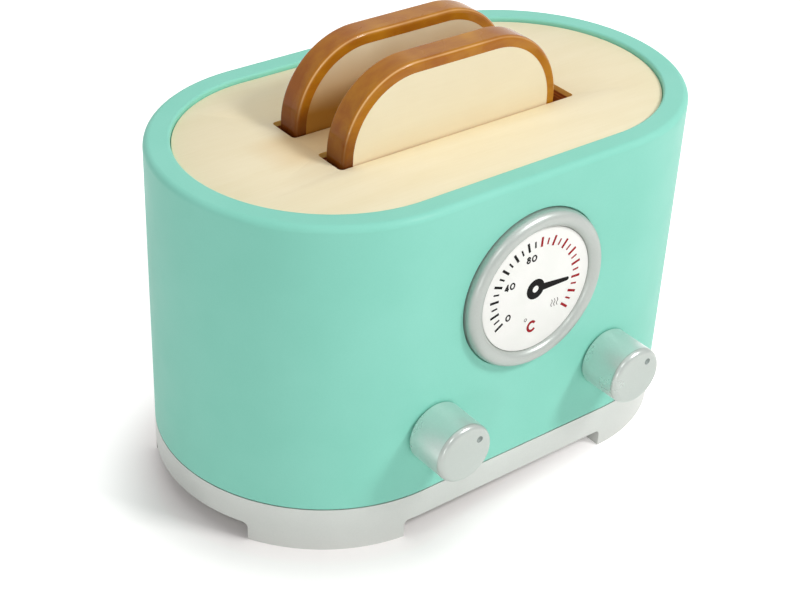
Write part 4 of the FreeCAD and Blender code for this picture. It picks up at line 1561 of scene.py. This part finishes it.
@dataclass
class Slice:
    """A wooden slice: a caramel crust round the edge and a band of it on both cream faces."""

    node: str
    body: Body
    front_crumb: Crumb
    back_crumb: Crumb
    top_round: float = 31.0 * MM
    foot_round: float = 5.0 * MM
    edge_round: float = 1.6 * MM
    band: float = 4.2 * MM
    crumb_sink: float = 0.08 * MM
    highlight_inset: float = 0.5 * MM

    def build(self) -> None:
        """Build the slice; its crust carries painted highlight lines just inside both faces."""
        low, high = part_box(self.node)
        bm = bar((low + high) / 2, high - low)
        for level, radius, segments in ((high.z, self.top_round, 28), (low.z, self.foot_round, 10)):
            round_edges(
                bm, lambda edge: all_at(edge, Axis.Z, level) and runs_along(edge, Axis.Y), radius, segments
            )
        for level in (low.y, high.y):
            round_edges(bm, lambda edge: all_at(edge, Axis.Y, level), self.edge_round, segments=6)
        bm.normal_update()
        band, sink = self.band - self.edge_round, self.crumb_sink
        for face in [face for face in bm.faces if abs(face.normal.y) > SQUARE]:
            bmesh.ops.inset_region(bm, faces=[face], thickness=band, use_even_offset=True)
            face.material_index = 1 if face.normal.y < 0 else 2
            bmesh.ops.inset_region(bm, faces=[face], thickness=sink, depth=-sink)
        # The painted highlight lines lie this far inside each face.
        crust = Crust(self.node + "_crust", *CARAMEL, (low.y + self.highlight_inset, high.y - self.highlight_inset))
        finishes = [crust, self.front_crumb, self.back_crumb]
        name = self.node + "_slice"
        finished(bm, name, finishes, self.body, [self.node], crease=40.0, flats=True)


# ---------------------------------------------------------------- mechanism


@dataclass
class Spring:
    """A compression spring with closed ends, built at its node's length; in the toaster it shortens as the
    carriage goes down.
    """

    node: str
    wire: float = 0.8 * MM
    turns: int = 6
    steps: int = 24
    sides: int = 10
    keep: float = 0.368

    def build(self) -> None:
        """Build the coil."""
        low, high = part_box(self.node)
        centre, outer = round_place(self.node)
        radius = outer - self.wire
        closed = 2 * self.wire
        rise = high.z - low.z - 2 * self.wire - 2 * closed
        bm = bmesh.new()
        start = Matrix.Translation((centre.x + radius, centre.y, low.z + self.wire)) @ UPRIGHT
        section = bmesh.ops.create_circle(bm, segments=self.sides, radius=self.wire, matrix=start)["verts"]
        ends = [bmesh.ops.contextual_create(bm, geom=section)["faces"][0]]
        loop = list(section) + list(ends[0].edges)
        bmesh.ops.delete(bm, geom=ends, context="FACES_ONLY")
        for turns, climb in ((1, closed), (self.turns, rise), (1, closed)):
            steps = self.steps * turns
            made = bmesh.ops.spin(
                bm,
                geom=loop,
                cent=(centre.x, centre.y, 0),
                axis=(0, 0, 1),
                dvec=(0, 0, climb / steps),
                angle=2 * math.pi * turns,
                steps=steps,
                use_merge=False,
                use_duplicate=False,
            )
            loop = [item for item in made["geom_last"] if not isinstance(item, bmesh.types.BMFace)]
        open_edges = [edge for edge in bm.edges if len(edge.link_faces) == 1]
        bmesh.ops.holes_fill(bm, edges=open_edges, sides=self.sides + 2)
        piece = finished(bm, self.node + "_coil", [SPRING], Body.HOUSING, [self.node])
        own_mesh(piece)


@dataclass
class Screws:
    """A group of upright wood screws, heads down, with a cross recess in each head."""

    node: str
    head_radius: float
    head_height: float
    shank_radius: float
    rows: int
    tip: float = 3.0 * MM
    cross_width: float = 0.9 * MM
    cross_length: float = 3.06 * MM
    cross_depth: float = 0.9 * MM
    edge: float = 0.35 * MM

    def build(self) -> None:
        """Build the group as one piece."""
        low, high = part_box(self.node)
        centres_x = (low.x + self.head_radius, high.x - self.head_radius)
        centres_y = (low.y + self.head_radius, high.y - self.head_radius)[: self.rows]
        feet = [Vector((x, y, low.z)) for x in centres_x for y in centres_y]
        whole = joined(self.screw(foot, high.z) for foot in feet)
        name = self.node + "_set"
        finished(whole, name, [STEEL], Body.HOUSING, [self.node], crease=30.0)

    def screw(self, foot: Vector, top: float) -> BMesh:
        """One screw.

        Args:
            foot: Middle of the head's outer face.
            top: Height of the screw's point.

        Returns:
            The screw's mesh.
        """
        head, shank = self.head_radius, self.shank_radius
        under = foot.z + self.head_height
        outline = [(0, foot.z), (head, foot.z), (head, under)]
        outline += [(shank, under), (shank, top - self.tip), (0, top)]
        section = [Vector((foot.x + reach, foot.y, z)) for reach, z in outline]
        bm = lathed(section, foot, Axis.Z, steps=32, closed=False)
        bmesh.ops.remove_doubles(bm, verts=bm.verts[:], dist=DOUBLE)

        def at_rim(edge: BMEdge) -> bool:
            """Whether an edge follows the head's outer rim."""
            reach = min((vert.co - foot).xy.length for vert in edge.verts)
            return all_at(edge, Axis.Z, foot.z) and reach > head - NEAR

        round_edges(bm, at_rim, self.edge, segments=2)
        for x, y in ((self.cross_width, self.cross_length), (self.cross_length, self.cross_width)):
            bm = carve(bm, bar(foot, Vector((x, y, self.cross_depth * 2))))
        return bm


@dataclass
class Mechanism:
    """The frame's inner pieces: most only get their finish, and springs and screws are rebuilt."""

    boards: tuple[str, ...] = (
        "floor_board",
        "front_guide_board",
        "middle_guide_board",
        "rear_guide_board",
        "bread_carriage",
    )
    steel_parts: tuple[str, ...] = (
        "floor_screws",
        "catch_screws",
        "browning_shaft",
        "release_shaft",
        "browning_shaft_screw",
        "release_shaft_screw",
        "guide_rods",
        "latch_pin",
        "latch_bracket",
        "carriage_catch",
    )
    leaf_springs: tuple[str, ...] = ("latch_spring", "click_spring")
    nylon_parts: tuple[str, ...] = (
        "browning_bush",
        "release_bush",
        "click_wheel",
        "release_cam",
        "latch_lever",
        "carriage_sleeves",
        "stop_spacers",
    )
    springs: tuple[Spring, ...] = (Spring("lift_spring_left"), Spring("lift_spring_right"))
    screws: tuple[Screws, ...] = (
        Screws("base_screws", head_radius=3.4 * MM, head_height=2.5 * MM, shank_radius=1.75 * MM, rows=2),
        Screws("rod_screws", head_radius=3.0 * MM, head_height=1.6 * MM, shank_radius=1.5 * MM, rows=1),
    )

    def build(self) -> None:
        """Dress every node that still shows, then build the springs and the screws."""
        for finish, nodes in (
            (BIRCH, self.boards),
            (STEEL, self.steel_parts),
            (SPRING, self.leaf_springs),
            (NYLON, self.nylon_parts),
        ):
            for node in nodes:
                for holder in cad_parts[node].material_slots:
                    holder.material = dress(finish)
                LOG.info("%s: dressed in %s", node, finish.name)
        for group in (*self.springs, *self.screws):
            group.build()


# ---------------------------------------------------------------- stage


@dataclass(frozen=True)
class Lamp:
    """A square soft lamp that looks at the toaster."""

    name: str
    place: Triple
    size: float
    power: float
    aim: Triple = (0.0, 0.0, 0.08)

    def build(self) -> None:
        """Build the lamp."""
        data = bpy.data.lights.new(self.name, "AREA")
        data.size = self.size
        data.energy = self.power
        lamp = in_scene(self.name, data)
        lamp.location = self.place
        lamp.rotation_euler = (Vector(self.aim) - lamp.location).to_track_quat("-Z", "Y").to_euler()


@dataclass
class Stage:
    """Pale floor, soft lamps, bright surroundings and the camera."""

    azimuth: float = -38.94
    elevation: float = 33.0
    roll: float = 2.78
    distance: float = 630.45 * MM
    target: Triple = (-23.93 * MM, -19.63 * MM, 70.0 * MM)
    lens: float = 75.49
    sensor: float = 36.0
    clip: Pair = (0.01, 50.0)
    floor_size: float = 6.0
    floor_drop: float = 0.02 * MM
    floor_colour: Colour = (0.95, 0.915, 0.905)
    floor_glow: Pair = (0.0, 0.55)
    glow_reach: Pair = (62.0 * MM, 110.0 * MM)
    glow_behind: float = 0.35
    glow_right: float = 0.25
    right_from: float = -50.0 * MM
    surroundings: float = 0.44
    lamps: tuple[Lamp, ...] = (
        Lamp("key", (0.78, -1.2, 1.42), size=0.38, power=16.4),
        Lamp("top", (0.1, 0.2, 1.6), size=1.2, power=3.3),
        Lamp("fill", (-1.3, -1.15, 0.24), size=0.2, power=2.0),
        Lamp("glint", (-0.86, -1.0, 1.25), size=0.16, power=2.6),
    )

    def __post_init__(self) -> None:
        """Read the toaster's plan from the frame."""
        low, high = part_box("base_plinth")
        self.plan = Racetrack(high.x - low.x, high.y - low.y, (low.y + high.y) / 2)

    def build(self) -> None:
        """Build floor, surroundings, lamps and camera."""
        self.floor()
        self.world()
        for lamp in self.lamps:
            lamp.build()
        self.camera()

    def floor(self) -> None:
        """A pale floor that keeps the shadow near the toaster, and glows away from it."""
        bm = bmesh.new()
        bmesh.ops.create_grid(bm, x_segments=1, y_segments=1, size=self.floor_size / 2)
        bmesh.ops.translate(bm, verts=bm.verts[:], vec=(0, 0, -self.floor_drop))
        floor = in_scene("floor", to_data(bm, "floor"))
        shader = Shader("floor_white")
        shader.put(Base_Color=(*self.floor_colour, 1.0), Roughness=0.9, Specular_IOR_Level=0.1)
        glow = shader.sums(Sum.TIMES, shader.seen(), self.glow(shader))
        shader.put(Emission_Color=WHITE, Emission_Strength=glow)
        floor.data.materials.append(shader.material)

    def glow(self, shader: Shader) -> Pattern:
        """The floor's brightening with the distance from the plan, sooner at the back and the right.

        Args:
            shader: The floor's material.

        Returns:
            The pattern.
        """
        along, across, _ = shader.axes()
        beyond = shader.past(shader.gap(along, 0.0), self.plan.bend_x)
        beside = shader.sums(Sum.LESS, across, self.plan.centre_y)
        square = shader.sums(
            Sum.ADD, shader.sums(Sum.TIMES, beyond, beyond), shader.sums(Sum.TIMES, beside, beside)
        )
        away = shader.total(
            (shader.sums(Sum.POWER, square, 0.5), 1.0),
            (shader.past(across, self.plan.centre_y), self.glow_behind),
            (shader.past(along, self.right_from), self.glow_right),
        )
        fade = shader.span(away, self.glow_reach, self.floor_glow)
        fade.node.interpolation_type = "SMOOTHSTEP"
        return fade

    def world(self) -> None:
        """Even white surroundings, seen at full white and lighting at less."""
        world = bpy.data.worlds.new("surroundings")
        bpy.context.scene.world = world
        world.use_nodes = True
        nodes = Nodes(world.node_tree)
        background = nodes.tree.nodes["Background"]
        nodes.feed(background.inputs["Color"], WHITE)
        level = nodes.span(nodes.seen(), (0.0, 1.0), (self.surroundings, 1.0))
        nodes.feed(background.inputs["Strength"], level)

    def camera(self) -> None:
        """The camera, by its angles about the toaster's middle."""
        turn, rise, roll = (math.radians(angle) for angle in (self.azimuth, self.elevation, self.roll))
        back = Vector((math.sin(turn) * math.cos(rise), -math.cos(turn) * math.cos(rise), math.sin(rise)))
        right = Vector((0, 0, 1)).cross(back).normalized()
        up = back.cross(right)
        level_right = right * math.cos(roll) + up * math.sin(roll)
        level_up = up * math.cos(roll) - right * math.sin(roll)
        place = Vector((0, self.plan.centre_y, 0)) + Vector(self.target) + back * self.distance
        data = bpy.data.cameras.new("camera")
        data.sensor_width = self.sensor
        data.lens = self.lens
        data.clip_start, data.clip_end = self.clip
        camera = in_scene("camera", data)
        basis = Matrix((level_right, level_up, back)).transposed().to_4x4()
        camera.matrix_world = Matrix.Translation(place) @ basis
        bpy.context.scene.camera = camera


def main() -> None:
    """Build every sub-assembly in order."""
    logging.basicConfig(level=logging.INFO, format="%(name)s: %(message)s")
    bpy.context.scene.view_settings.view_transform = "Standard"
    Stage().build()
    Housing().build()
    Gauge().build()
    Knob("browning_knob", Body.BROWNING, dimple_angle=40.0).build()
    Knob("release_knob", Body.RELEASE, dimple_angle=52.0).build()
    Slice("front_toast", Body.FRONT_SLICE, CRUMB, CRUMB).build()
    Slice("rear_toast", Body.REAR_SLICE, SHADED_CRUMB, CRUMB).build()
    Mechanism().build()


if __name__ == "__main__":
    main()
